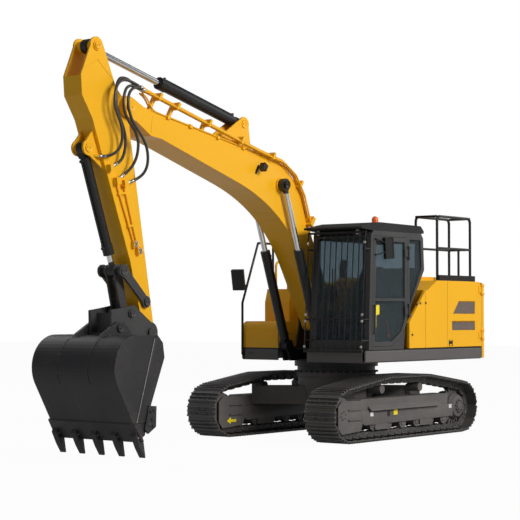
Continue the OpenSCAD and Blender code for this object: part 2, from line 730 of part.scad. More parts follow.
// Right side panel between the tank and the right door
tank_x0 = -640;
tank_x1 = 36;
tank_top = 2055;
tank_y = -800;
module right_panels() {
  y0 = -half_w;
  color(yellow) placed() {
    across(y0, y0 + panel_t) polygon([[left_seam_2 + seam / 2, deck_z + 10], [tank_x0 - seam, deck_z + 10],
      [tank_x0 - seam, house_z - 20], [-693, house_z], [left_seam_2 + seam / 2, house_z]]);
    for (x = [left_seam_2 + 30, tank_x0 - 60])
      box([x, y0 + panel_t - eps, deck_z], [x + 40, y0 + panel_t + 40, house_z - 190]);
    box([left_seam_2 + 30, y0 + panel_t - eps, deck_z], [tank_x0 - 20, y0 + panel_t + 40, deck_z + 50]);
  }
}

// Crowned engine hood, hinged at its front edge
module engine_hood() {
  crown = [[hood_x0, house_z], [hood_x1 - 14, house_z], [hood_x1 - 14, house_z + 20], [hood_x1 - 110,
      hood_z],
    [hood_x0 + 110, hood_z], [hood_x0, house_z + 24]];
  color(yellow) placed() {
    difference() {
      across(-hood_y, hood_y) polygon(crown);
      across(-hood_y + 24, hood_y - 24) polygon([[hood_x0 + 24, house_z - eps], [hood_x1 - 40,
          house_z - eps],
        [hood_x1 - 120, hood_z - 20], [hood_x0 + 120, hood_z - 20]]);
    }
    // Raised air intake cover
    translate([-1180, hood_y - 330, hood_z - eps]) cube([300 - 90, 220, 70]);
    for (y = hood_hinge_y) difference() {
      union() {
        box([hood_x1 - 40, y, house_z + 8], [hood_hinge[0], y + hinge_h, house_z + 20]);
        bar_y(hood_hinge, y, y + hinge_h, hinge_r);
      }
      bar_y(hood_hinge, y - eps, y + hinge_h + eps, hinge_pin_r + fit);
    }
  }
}

module exhaust() {
  color(black) placed() {
    tube([[-1500, -930, house_z], [-1500, -930, house_z + 260], [-1560, -930, house_z + 330]], 50);
    translate([-1500, -930, house_z]) cylinder(h = 14, r = 90);
  }
}

// Handrail cage and kick plate on the left top cover
rail_x0 = -1858;
rail_x1 = -937;
rail_y0 = cover_y + 54;
rail_y1 = half_w - 145;
rail_top = house_z + 924;
rail_mid = house_z + 470;
rail_r2 = 19;
module handrails() {
  color(black) placed() {
    for (y = [rail_y0, rail_y1]) {
      tube([[rail_x1, y, house_z], [rail_x1, y, rail_top], [rail_x0, y, rail_top], [rail_x0, y,
          house_z]], rail_r2);
      bar([rail_x1, y, rail_mid], [rail_x0, y, rail_mid], rail_r2 - 2);
      translate([rail_x0 + 330, y, house_z]) cylinder(h = rail_mid - house_z, r = rail_r2 - 2);
      for (x = [rail_x0, rail_x0 + 330, rail_x1]) translate([x, y, house_z]) cylinder(h = 10, r = 42);
    }
    for (z = [rail_mid, rail_top]) bar([rail_x0, rail_y0, z], [rail_x0, rail_y1, z], rail_r2 - 2);
    bar([rail_x1, rail_y0, rail_top], [rail_x1, rail_y1, rail_top], rail_r2 - 2);
    // Kick plate along the outer edge
    box([rail_x0 - 60, rail_y1 + 24, house_z], [rail_x1 + 20, rail_y1 + 50, house_z + 85]);
  }
}

// Fuel tank on the right deck, with filler, hand rail and step
module fuel_tank() {
  color(yellow) placed() {
    difference() {
      across(-half_w, tank_y) polygon([[tank_x0, deck_z], [tank_x1, deck_z], [tank_x1, tank_top - 190],
        [tank_x1 - 60, tank_top], [tank_x0, tank_top]]);
      across(-half_w + 12, tank_y - 12) polygon([[tank_x0 + 12, deck_z + 12], [tank_x1 - 12, deck_z + 12],
        [tank_x1 - 12, tank_top - 195], [tank_x1 - 70, tank_top - 12], [tank_x0 + 12, tank_top - 12]]);
    }
    translate([tank_x0 + 250, -1050, tank_top - eps]) cylinder(h = 46, r = 60);
    tube([[tank_x1 - 150, -half_w + 90, tank_top], [tank_x1 - 150, -half_w + 90, tank_top + 400],
      [tank_x0 + 80, -half_w + 90, tank_top + 400], [tank_x0 + 80, -half_w + 90, tank_top]], 17);
    tube([[tank_x1 - 90, tank_y - 90, tank_top - 2], [tank_x1 - 90, tank_y - 90, tank_top + 250],
      [tank_x1 - 330, tank_y - 90, tank_top + 250], [tank_x1 - 330, tank_y - 90, tank_top - 2]], 17);
  }
}

// Rounded tool box in front of the tank
module tool_box() {
  box_top = 1588;
  box_y = -600;
  outline = [[tank_x1 + 1, deck_z], [right_deck_x - 8, deck_z], [right_deck_x, deck_z + 90],
      [right_deck_x, box_top - 160],
    each arc([right_deck_x - 120, box_top - 120], 120, 0, 90, 8), [tank_x1 + 1, box_top]];
  color(yellow) placed() difference() {
    across(-half_w, box_y) polygon(outline);
    across(-half_w + 6, box_y - 6) polygon(inset(outline, 6));
  }
}

// Right grab rail with the mirror on it
grab_x = right_deck_x + 28;
grab_y = -half_w + 30;
grab_top = 2722;
grab_r = 17;
module right_mirror() {
  mirror_c = [grab_x + 70, grab_y - 20, 2180];
  color(black) placed() {
    tube([[right_deck_x, grab_y, platform_z + 70], [grab_x, grab_y, platform_z + 70], [grab_x, grab_y,
        1850],
      [240, grab_y, grab_top], [-120, grab_y, grab_top], [-120, grab_y, tank_top]], grab_r, 24);
    translate(mirror_c) rotate([0, 18, 20]) difference() {
      cube([60, 180, 300], center = true);
      translate([-24, 0, 0]) cube([20, 150, 270], center = true);
    }
    bar([grab_x - 100, grab_y, 2100], mirror_c + [0, 0, -60], 11);
  }
}

// Side outline of the cab
cab_rear_x = -336;
cab_slant_x = 118;
cab_slant_z = 1608;
cab_back_z = 2302;
cab_top_x = cab_front_x - cab_lean;
cab_side = [[171, deck_z], [cab_front_x, deck_z], [cab_front_x, deck_z + 240], [cab_top_x, cab_roof_z - 60],
  [cab_top_x - 60, cab_roof_z], [cab_rear_x + 50, cab_roof_z], [cab_rear_x, cab_roof_z - 60],
  [cab_rear_x - 27, cab_back_z], [cab_slant_x, cab_slant_z]];
post_w = 70;
sill_z = deck_z + cab_t;
door_rear_x = 75;
door_hinge = [door_rear_x - 16, cab_y1 + 22];
door_knuckle_r = 14;
door_knuckle_h = 110;
door_pin_r = 7;
cab_hinge_z = [1680, cab_roof_z - 330];
// Door outline, with its cut lower rear corner
door_side = [[455, sill_z], [cab_front_x - 76, sill_z], [cab_front_x - 76, deck_z + 240],
  [cab_top_x - 66, cab_roof_z - 72], [door_rear_x, cab_roof_z - 72], [door_rear_x, 1600], [190, 1400]];
quarter_window = [[door_rear_x - 62, 1800], [door_rear_x - 62, cab_roof_z - 90], [cab_rear_x + 70,
    cab_roof_z - 90],
  [cab_rear_x + 42, cab_back_z + 20]];

right_window = [[cab_slant_x + 120, 1760], [cab_front_x - 110, 1560], [cab_top_x - 110, cab_roof_z - 110],
  [cab_rear_x + 110, cab_roof_z - 110], [cab_rear_x + 110, cab_back_z + 40]];

module cab_frame() {
  // Hinge lugs and pins of the door on the rear post
  color(charcoal) placed() for (z = cab_hinge_z) {
    for (zz = [z - 36, z + door_knuckle_h + 1]) {
      box([door_hinge[0] - 55, cab_y1 - eps, zz], [door_hinge[0], cab_y1 + 16, zz + 35]);
      translate([door_hinge[0], door_hinge[1], zz]) cylinder(h = 35, r = door_knuckle_r);
    }
    translate([door_hinge[0], door_hinge[1], z - 2]) cylinder(h = door_knuckle_h + 4, r = door_pin_r);
  }
  color(charcoal) placed() difference() {
    across(cab_y0, cab_y1) polygon(cab_side);
    across(cab_y0 + cab_t, cab_y1 - cab_t) polygon(inset(cab_side, cab_t));
    // Door opening
    across(cab_y1 - cab_t - eps, cab_y1 + eps) polygon(inset(door_side, -5));
    // Rear quarter window on the left
    across(cab_y1 - cab_t - eps, cab_y1 + eps) polygon(quarter_window);
    // Right side window
    across(cab_y0 - eps, cab_y0 + cab_t + eps) polygon(right_window);
    // Windscreen
    box([cab_top_x - 130, cab_y0 + post_w, deck_z + 130], [cab_front_x + 60, cab_y1 - post_w,
        cab_roof_z - 90]);
    // Rear window
    box([cab_rear_x - 80, cab_y0 + post_w + 20, cab_back_z + 30], [cab_rear_x + 120,
        cab_y1 - post_w - 20, cab_roof_z - 130]);
  }
}

glass_t = 8;
module cab_glass() {
  y0 = cab_y0 + post_w;
  y1 = cab_y1 - post_w;
  color("#5a7078", 0.45) placed() {
    // Windscreen in two panes, upright below and leaning above
    across(y0, y1) polygon([[cab_front_x - 16 - glass_t, deck_z + 130], [cab_front_x - 16, deck_z + 130],
      [cab_front_x - 16, deck_z + 240], [cab_top_x - 16, cab_roof_z - 90], [cab_top_x - 16 - glass_t,
          cab_roof_z - 90],
      [cab_front_x - 16 - glass_t, deck_z + 240]]);
    across(cab_y1 - 20 - glass_t, cab_y1 - 20) polygon(quarter_window);
    across(cab_y0 + 20, cab_y0 + 20 + glass_t) polygon(right_window);
    box([cab_rear_x + 2, y0 + 20, cab_back_z + 30], [cab_rear_x + 2 + glass_t, y1 - 20, cab_roof_z - 130]);
  }
}

// Roof with its raised guard and the front visor
roof_h = 118;
module cab_roof() {
  y0 = cab_y0;
  y1 = cab_y1;
  color(black) placed() {
    across(y0, y1) polygon([[cab_rear_x + 40, cab_roof_z], [cab_top_x - 60, cab_roof_z],
        [cab_deck_x + 80, cab_roof_z + 22],
      [cab_deck_x + 80, cab_roof_z + 44], [cab_top_x - 200, cab_roof_z + roof_h], [cab_rear_x + 60,
          cab_roof_z + roof_h - 10],
      [cab_rear_x - 20, cab_roof_z + 40], [cab_rear_x - 20, cab_roof_z + 10]]);
    for (y = [y0 + 110, y1 - 190]) translate([cab_top_x + 60, y, cab_roof_z - 66]) cube([40, 80, 90]);
  }
}

// Guard of upright bars in front of the windscreen, on brackets from the cab
guard_z0 = platform_z + 136;
guard_z1 = cab_roof_z - 10;
function guard_x(z) = cab_deck_x + 84 - (cab_lean + 54) * (z - guard_z0) / (guard_z1 - guard_z0);
function cab_face_x(z) = cab_front_x - cab_lean * max(0, z - deck_z - 240) / (cab_roof_z - 300 - deck_z);
module front_guard() {
  y0 = cab_y0 + 8;
  y1 = cab_y1 - 8;
  step = (y1 - y0) / (guard_bars - 1);
  color(black) placed() {
    for (k = [0:guard_bars - 1]) bar([guard_x(guard_z0), y0 + k * step, guard_z0],
      [guard_x(guard_z1), y0 + k * step, guard_z1], guard_r);
    for (z = [guard_z0, deck_z + 390, guard_z1 - 30])
      box([guard_x(z) - 14, y0 - 12, z], [guard_x(z) + 2, y1 + 12, z + 30]);
    // Stand-off brackets to the front posts
    for (y = [y0 + 5, y1 - 5]) for (z = [deck_z + 110, deck_z + 390, cab_roof_z - 260])
      bar([cab_face_x(z + 15) + 0.6, y, z + 15], [guard_x(z + 15) - 3, y, z + 15], 12);
  }
}

// Operator's chair on its pedestal
chair_x = 400;
chair_y = (cab_y0 + cab_y1) / 2;
module operator_chair() {
  color("#333336") placed() translate([chair_x, chair_y, deck_z + cab_t]) {
    box([-120, -170, 0], [200, 170, 250]);
    across(-240, 240) polygon([[-210, 250], [250, 250], [300, 300], [290, 350], [-150, 360], [-200, 900],
      [-290, 900], [-300, 860]]);
    across(-130, 130) polygon([[-215, 900], [-270, 900], [-290, 1090], [-235, 1100]]);
  }
}

// Side consoles with levers, and the travel pedals
module cab_controls() {
  color(black) placed() translate([chair_x, chair_y, deck_z + cab_t]) for (s = [-1, 1]) {
    box([-140, s * 325 - 70, 0], [330, s * 325 + 70, 470]);
    translate([280, s * 325, 460]) cylinder(h = 170, r = 16);
    translate([280, s * 325, 620]) cylinder(h = 80, r = 26);
    bar([450, s * 90, 10], [420, s * 90, 420], 14);
    box([390, s * 90 - 55, 0], [510, s * 90 + 55, 26]);
  }
}

module beacon() {
  color("orangered") placed() translate([204, 800, cab_roof_z + roof_h - 4.7]) {
    cylinder(h = 24, r = 58);
    cylinder(h = 80, r = 46);
    translate([0, 0, 80]) scale(1) sphere(46);
  }
}

// Cab door, hinged on the rear post
door_y0 = cab_y1 - cab_t;
door_bar_z = 1880;
module door_windows() {
  difference() {
    polygon(inset(door_side, 62));
    translate([-500, door_bar_z - 20]) square([3000, 40]);
  }
}

module cab_door() {
  color(charcoal) placed() {
    across(door_y0, cab_y1) difference() {
      polygon(door_side);
      door_windows();
    }
    for (z = cab_hinge_z) difference() {
      union() {
        box([door_rear_x, cab_y1 - eps, z], [door_hinge[0] + 90, cab_y1 + 14, z + door_knuckle_h]);
        box([door_hinge[0], cab_y1 + 6, z], [door_rear_x + 5, cab_y1 + 14, z + door_knuckle_h]);
        translate([door_hinge[0], door_hinge[1], z]) cylinder(h = door_knuckle_h, r = door_knuckle_r);
      }
      translate([door_hinge[0], door_hinge[1], z - eps]) cylinder(h = door_knuckle_h + 2 * eps,
          r = door_pin_r + fit);
    }
    // Grab handle
    for (z = [1440, 1800]) bar_y([902, z], cab_y1 - eps, cab_y1 + 34, 13);
    bar([902, cab_y1 + 24, 1425], [902, cab_y1 + 24, 1815], 11);
  }
}

module door_glass() {
  color("#5a7078", 0.45) placed() across(door_y0 + 18, door_y0 + 18 + glass_t) difference() {
    polygon(inset(door_side, 62));
    translate([-500, door_bar_z - 20]) square([3000, 40]);
  }
}

module door_mirror() {
  color(black) placed() {
    for (z = [2480, 2690]) {
      bar_y([866, z], cab_y1, cab_y1 + 30, 10);
      bar([866, cab_y1 + 20, z], [640, cab_y1 + 40, (z + 2575) / 2], 8);
    }
    translate([600, cab_y1 + 42, 2575]) rotate([0, 4, -8]) difference() {
      cube([170, 40, 290], center = true);
      translate([0, 20, 0]) cube([146, 12, 266], center = true);
    }
  }
}

// Boom: curved box section with foot boss, tip fork, cylinder bosses and the arm cylinder's bracket
boss_r = 135;
tip_r = 125;
fork_t = (boom_w - arm_w) / 2 - 5;
fork_u = boom_len - 190;
boom_upper = [each bend([1100, knee_top - 369], [1780, knee_top + 92], [1858, knee_top + 100], [2630,
    knee_top - 210], 12)];
boom_lower = [each bend([1050, knee_under - 178], [1600, knee_under + 48], [2130, knee_under + 56],
    [2835, knee_under - 154], 12)];
// Outline from the foot along the underside to the tip, then back along the top
boom_outline = concat([[-90, -60], [40, -boss_r + 20]], boom_lower, [[fork_u - 480, 20], [fork_u - 300,
    -66], [fork_u, -78],
  [fork_u, 150], [fork_u - 240, 225]], [for (i = [len(boom_upper) - 1:-1:0]) boom_upper[i]], [[-60, 110]]);
boom_box = boom_outline;

module boom() {
  side_y = boom_w / 2;
  color(yellow) placed() boom_frame() {
    difference() {
      union() {
        difference() {
          across(-side_y, side_y) polygon(boom_box);
          across(-side_y + boom_t, side_y - boom_t) polygon(inset(boom_box, boom_t));
        }
        bar_y([0, 0], -side_y + 1, side_y - 1, boss_r);
        for (s = [-1, 1]) {
          // Tip fork
          y0 = s * side_y;
          across(min(y0, y0 - s * fork_t), max(y0, y0 - s * fork_t)) union() {
            polygon([[fork_u - 300, -66], [fork_u, -78], [boom_len, -tip_r], [boom_len, tip_r],
              [fork_u, 150], [fork_u - 240, 225]]);
            translate([boom_len, 0]) circle(tip_r);
          }
          // Boss that carries a boom cylinder's rod eye
          b0 = s * (side_y - 20);
          b1 = s * (boom_cyl_y - boom_eye_w / 2 - side_gap);
          bar_y(boom_rod_local, min(b0, b1), max(b0, b1), 95);
          // Bracket of the arm cylinder
          c0 = s * (arm_barrel_r + side_gap);
          across(min(c0, c0 + s * ear_t), max(c0, c0 + s * ear_t)) union() {
            polygon([[2560, knee_top - 196], [3280, knee_top - 480], arm_base_local + [92, 20],
              arm_base_local + [-92, 20]]);
            translate(arm_base_local) circle(95);
          }
          e0 = s * (bucket_eye_w / 2 + side_gap);
          bar_y(arm_base_local, min(e0, c0 + s), max(e0, c0 + s), 62);
        }
      }
      bar_y([0, 0], -side_y - 5, side_y + 5, big_pin_r + fit);
    }
    bar_y([boom_len, 0], -side_y - 10, side_y + 10, big_pin_r);
    bar_y(arm_base_local, -arm_barrel_r - side_gap - 2, arm_barrel_r + side_gap + 2, pin_r);
  }
}

// Steel pipes along the top left edge of the boom, with their clamps
boom_pipe_path = [[1180, knee_top - 290], [1500, knee_top - 50], [1800, knee_top + 70], [2100,
    knee_top + 60], [2600, knee_top - 125],
  [boom_len - 29, 320]];
// Side place and drop of each pipe, the outer pair lower
boom_pipes_at = [[boom_w / 2 - 34, 0], [boom_w / 2 + 6, 0], [boom_w / 2 + 26, -46], [boom_w / 2 + 66, -46]];
pipe_r = 12;
sleeve_r = 19;
pipe_way = unit(boom_pipe_path[5] - boom_pipe_path[4]);
module boom_pipes() {
  y0 = boom_pipes_at[0][0] - 22;
  y1 = boom_pipes_at[3][0] + 22;
  color(yellow) placed() boom_frame() {
    for (k = boom_pipes_at) {
      tube([for (p = boom_pipe_path) [p[0], k[0], p[1] + k[1]]], pipe_r, 200);
      tip = boom_pipe_path[5] + [0, k[1]];
      back = tip - 60 * pipe_way;
      bar([back[0], k[0], back[1]], [tip[0], k[0], tip[1]], sleeve_r);
    }
    // Manifold at the lower end and clamps with posts down to the boom
    difference() {
      union() {
        box([1140, y0, knee_top - 370], [1200, y1, knee_top - 235]);
        for (u = [1650, 2350, 3000, 3650, fork_u - 449, fork_u - 120]) {
          v = lookup(u, boom_pipe_path);
          box([u - 18, y0, v - 72], [u + 18, y1, v + 24]);
          box([u - 18, y0, v - 300], [u + 18, boom_w / 2 - 4, v - 60]);
        }
      }
      across(-boom_w / 2, boom_w / 2) polygon(boom_outline);
    }
  }
}

// Hoses from the boom's pipes down to the arm, each a smooth tube through its route's points
function between_points(a, b, c, d, t) = 0.5 * (2 * b + (c - a) * t + (2 * a - 5 * b + 4 * c - d) * t * t
  + (3 * b - a - 3 * c + d) * t * t * t);
function smooth_route(p, n = 2) = [for (i = [0:len(p) - 2]) for (k = [0:n - 1])
  between_points(p[max(i - 1, 0)], p[i], p[i + 1], p[min(i + 2, len(p) - 1)], k / n), p[len(p) - 1]];
module hose(route) {
  path = smooth_route(route);
  n = len(path);
  m = hose_sides;
  points = [for (i = [0:n - 1])
    let (t = unit(path[min(i + 1, n - 1)] - path[max(i - 1, 0)]),
      a = unit(cross(t, [1, 1, 1])),
      b = cross(t, a))
    for (k = [0:m - 1]) path[i] + hose_r * (a * cos(360 * k / m) + b * sin(360 * k / m))];
  faces = [[for (k = [0:m - 1]) k], [for (k = [m - 1:-1:0]) (n - 1) * m + k],
    for (i = [0:n - 2]) for (k = [0:m - 1]) each [[i * m + k, (i + 1) * m + k, (i + 1) * m + (k + 1) % m],
      [i * m + k, (i + 1) * m + (k + 1) % m, i * m + (k + 1) % m]]];
  color(black) placed() polyhedron(points, faces);
}
module hose_1() {
  hose(hose_route_1);
}
module hose_2() {
  hose(hose_route_2);
}
module hose_3() {
  hose(hose_route_3);
}
module hose_4() {
  hose(hose_route_4);
}

// Work lamp on a bracket on the left side of the boom
module boom_lamp() {
  color(black) placed() boom_frame() translate([2480, boom_w / 2, knee_top - 300]) {
    box([-14, 0, -130], [14, 12, 0]);
    translate([0, 0, -20]) rotate([-90, 0, 0]) cylinder(h = 60, r = 12);
    box([-50, 44, -70], [30, 124, 20]);
  }
}

// Hydraulic barrel along +X, with a flat neck to its eye, bored for a pin at the origin
barrel_wall = 9;
gland_len = 130;
gland_bore = 60;
module barrel(length, r, rod_r, eye_r, eye_w, hole_r, neck, flange) {
  difference() {
    union() {
      rotate([0, 90, 0]) translate([0, 0, neck]) cylinder(h = length - neck, r = r);
      rotate([0, 90, 0]) translate([0, 0, length - gland_len]) cylinder(h = gland_len, r = r + flange);
      rotate([90, 0, 0]) cylinder(h = eye_w, r = eye_r, center = true);
      translate([0, -eye_w / 2, -eye_r * 0.8]) cube([neck + eps, eye_w, eye_r * 1.6]);
    }
    rotate([0, 90, 0]) translate([0, 0, neck + 30]) cylinder(h = length - neck - 30 - gland_bore,
        r = r - barrel_wall);
    rotate([0, 90, 0]) translate([0, 0, neck + 40]) cylinder(h = length, r = rod_r + fit);
    rotate([90, 0, 0]) cylinder(h = eye_w + 10, r = hole_r + fit, center = true);
  }
  // Port pipe along the barrel
  translate([0, 0, r + 14]) rotate([0, 90, 0]) translate([0, 0,
      neck + 30]) cylinder(h = length - neck - 110, r = 11);
  for (x = [neck + 30, length - 100]) translate([x, 0, r - 6]) cylinder(h = 40, r = 18);
}

// Piston rod along +X, from inside its barrel to its eye at the far pin
module piston_rod(start, length, r, bore_r, eye_r, eye_w) {
  rotate([0, 90, 0]) translate([0, 0, start]) cylinder(h = length - start - eye_r + 15, r = r);
  rotate([0, 90, 0]) translate([0, 0, start]) cylinder(h = 40, r = bore_r);
  translate([length, 0, 0]) rotate([90, 0, 0]) cylinder(h = eye_w, r = eye_r, center = true);
}

boom_cyl_len = norm(boom_rod_pin - boom_base_pin);
boom_barrel_len = boom_cyl_len - 921;
arm_cyl_len = norm(arm_rod_pin - arm_base_pin);
arm_barrel_len = arm_cyl_len - 1292;
bucket_cyl_len = norm(link_top_pin - bucket_base_pin);
bucket_barrel_len = bucket_cyl_len - 205;
bucket_eye_w = 90;

module boom_cylinder_barrels() {
  color(black) placed() for (s = [-1, 1]) between(boom_base_pin, boom_rod_pin, boom_y + s * boom_cyl_y)
    barrel(boom_barrel_len, boom_barrel_r, boom_rod_r, 74, boom_eye_w, pin_r, 110, 2);
}

module boom_cylinder_rods() {
  color(chrome) placed() for (s = [-1, 1]) between(boom_base_pin, boom_rod_pin, boom_y + s * boom_cyl_y)
    piston_rod(boom_barrel_len - 360, boom_cyl_len, boom_rod_r, boom_barrel_r - 10, 84, boom_eye_w);
}

module arm_cylinder_barrel() {
  color(black) placed() between(arm_base_pin, arm_rod_pin, boom_y)
    barrel(arm_barrel_len, arm_barrel_r, arm_rod_r, 80, bucket_eye_w, pin_r, 120, 10);
}

module arm_cylinder_rod() {
  color(chrome) placed() between(arm_base_pin, arm_rod_pin, boom_y)
    piston_rod(arm_barrel_len - 330, arm_cyl_len, arm_rod_r, arm_barrel_r - 10, 88, bucket_eye_w);
}

module bucket_cylinder_barrel() {
  color(black) placed() between(bucket_base_pin, link_top_pin, boom_y)
    barrel(bucket_barrel_len, bucket_barrel_r, bucket_rod_r, 74, bucket_eye_w, pin_r, 115, 8);
}

module bucket_cylinder_rod() {
  color(chrome) placed() between(bucket_base_pin, link_top_pin, boom_y)
    piston_rod(0.175 * bucket_barrel_len, bucket_cyl_len, bucket_rod_r, bucket_barrel_r - 10, 74,
        bucket_eye_w);
}

// Arm: box section with twin ears at the top, pivot boss, bucket cylinder's bracket and tip boss
arm_box = [[-150, 105], [60, -100], [246, -24], [arm_len - 60, -108], [arm_len, -112], [arm_len + 60,
    60], [arm_len - 206, 100],
  [arm_len - 900, 196],
  [100, 600], [-184, 735], [-419, 718]];
arm_ears = [[60, -100], [246, -24], [246, 400], [-184, 735], [-419, 718], [-836, 458], [-800, 306],
    [-249, 143], [-130, 50]];
module arm() {
  side_y = arm_w / 2;
  ear_y = side_y - 22;
  color(yellow) placed() arm_frame() {
    difference() {
      union() {
        difference() {
          across(-side_y, side_y) polygon(arm_box);
          across(-side_y + arm_t, side_y - arm_t) polygon(inset(arm_box, arm_t));
        }
        for (s = [-1, 1]) {
          across(min(s * ear_y, s * side_y), max(s * ear_y, s * side_y)) union() {
            polygon(arm_ears);
            translate(arm_rod_local) circle(105);
          }
          // Boss on the inner side of each ear, up to the rod's eye
          b0 = s * (bucket_eye_w / 2 + side_gap);
          bar_y(arm_rod_local, min(b0, s * (ear_y + 2)), max(b0, s * (ear_y + 2)), 70);
          bar_y(arm_rod_local, min(s * side_y, s * (side_y + 18)) - 0, max(s * side_y,
              s * (side_y + 18)), 60);
          // Bracket of the bucket cylinder
          c0 = s * (bucket_barrel_r + 8 + side_gap);
          across(min(c0, c0 + s * ear_t), max(c0, c0 + s * ear_t)) union() {
            polygon([[220, 550], [720, 440], bucket_base_local + [95, 0], bucket_base_local + [-95, 20]]);
            translate(bucket_base_local) circle(92);
          }
          bar_y(bucket_base_local, min(b0, c0 + s), max(b0, c0 + s), 60);
        }
        bar([548, 145, 528], [540, bucket_barrel_r + 8 + side_gap + ear_t - 6, 582], 19);
        bar_y([0, 0], -side_y, side_y, 140);
        bar_y([arm_len, 0], -side_y, side_y, 112);
      }
      bar_y([0, 0], -side_y - 5, side_y + 5, big_pin_r + fit);
      bar_y([arm_len, 0], -side_y - 5, side_y + 5, big_pin_r + fit);
    }
    bar_y(bucket_base_local, -bucket_barrel_r - side_gap - 10, bucket_barrel_r + side_gap + 10, pin_r);
    bar_y(rocker_local, -side_y - 48, side_y + 48, pin_r);
  }
}

// Pipes and valve blocks on the left side of the arm
module arm_pipes() {
  y = arm_w / 2;
  tops = [[860, 330], [900, 200]];
  feet = [[1640, 115], [1730, 50]];
  color(yellow) placed() arm_frame() {
    for (k = [0, 1]) {
      start = tops[k] + 0.04 * (feet[k] - tops[k]);
      bar([start[0], y + 18, start[1]], [feet[k][0], y + 18, feet[k][1]], pipe_r - 1);
      box([feet[k][0] - 40, y, feet[k][1] - 25], [feet[k][0] + 40, y + 46, feet[k][1] + 35]);
      box([tops[k][0] - 40, y, tops[k][1] - 52], [tops[k][0] + 44, y + 68, tops[k][1] + 26]);
    }
    for (u = [1000, 1400]) box([u, y, lookup(u, [tops[1], feet[1]]) - 20], [u + 30, y + 34, lookup(u,
        [tops[0], feet[0]]) + 20]);
    // Six-sided fittings that the hoses end on
    bar([829, y + 38, 269], [850, y + 28, 310], sleeve_r, $fn = 6);
    bar([896, y + 45, 134], [898, y + 32, 174], sleeve_r, $fn = 6);
    bar([682, y + 42, 375], [703, y + 32, 416], sleeve_r, $fn = 6);
    box([656, y, 384], [740, y + 68, 442]);
  }
}

// Pair of rocker links between the arm and the push link
rocker_y0 = arm_w / 2 + 8;
rocker_t = 32;
module rocker_links() {
  color(charcoal) placed() {
    for (s = [-1, 1]) {
      y0 = boom_y + s * rocker_y0;
      across(min(y0, y0 + s * rocker_t), max(y0, y0 + s * rocker_t)) difference() {
        union() {
          translate(rocker_pin) circle(72);
          translate(link_top_pin) circle(78);
          polygon(rocker_bar);
        }
        translate(rocker_pin) circle(pin_r + fit);
      }
      p0 = boom_y + s * (bucket_eye_w / 2 + side_gap);
      bar_y(link_top_pin, min(p0, y0 + s * rocker_t), max(p0, y0 + s * rocker_t), pin_r);
    }
  }
}

rocker_dir = unit(link_top_pin - rocker_pin);
rocker_bar = [rocker_pin - left_of(rocker_dir) * 52, link_top_pin - left_of(rocker_dir) * 58,
  link_top_pin + left_of(rocker_dir) * 58, rocker_pin + left_of(rocker_dir) * 52];

// Push link from the rocker to the coupler: two cheeks, a web near its lower end, and the lower boss
link_dir = unit(link_pin - link_top_pin);
cheek_y0 = bucket_eye_w / 2 + side_gap;
cheek_t = 30;
link_len = norm(link_pin - link_top_pin);
module push_link() {
  side = left_of(link_dir);
  function at(l, w) = link_top_pin + link_dir * l + side * w;
  color(charcoal) placed() {
    for (s = [-1, 1]) {
      y0 = boom_y + s * cheek_y0;
      across(min(y0, y0 + s * cheek_t), max(y0, y0 + s * cheek_t)) difference() {
        union() {
          translate(link_top_pin) circle(76);
          polygon([at(0, -62), at(link_len, -58), at(link_len, 58), at(0, 62)]);
          translate(link_pin) circle(70);
        }
        translate(link_top_pin) circle(pin_r + fit);
      }
    }
    across(boom_y - cheek_y0 - cheek_t, boom_y + cheek_y0 + cheek_t)
      polygon([at(link_len - 150, -24), at(link_len - 10, -24), at(link_len - 10, 10), at(link_len - 150,
          10)]);
    bar_y(link_pin, boom_y - arm_w / 2 + 2, boom_y + arm_w / 2 - 2, 68);
  }
}

// Coupler between the arm, the push link and the bucket's ears
coupler_y0 = arm_w / 2 + 6;
bucket_c = [773, -406];
bucket_top = bucket_c[1] + bucket_r;
coupler_t = 36;
coupler_side = [[-60, -128], [240, -100], [400, bucket_top], [690, bucket_top], [700, 270], [480, 300],
    [300, 330], [-10, 125], [-110, 30]];
module coupler() {
  y1 = coupler_y0 + coupler_t;
  color(charcoal) placed() bucket_frame() {
    for (s = [-1, 1]) across(min(s * coupler_y0, s * y1), max(s * coupler_y0, s * y1)) union() {
      polygon(coupler_side);
      circle(128);
    }
    bar_y([0, 0], -y1 - 16, y1 + 16, big_pin_r);
    for (s = [-1, 1]) bar_y(link_pin - arm_tip, min(s * y1, s * (y1 + 18)), max(s * y1, s * (y1 + 18)), 58);
    // Cross plate and floor between the side plates
    across(-y1 + 2, y1 - 2) polygon([[565, bucket_top], [590, bucket_top], [590, 240], [565, 240]]);
    across(-y1 + 2, y1 - 2) polygon([[190, -104], [240, -100], [400, bucket_top], [680, bucket_top],
        [680, bucket_top + 26], [392, bucket_top + 26],
      [232, -74], [190, -78]]);
  }
}

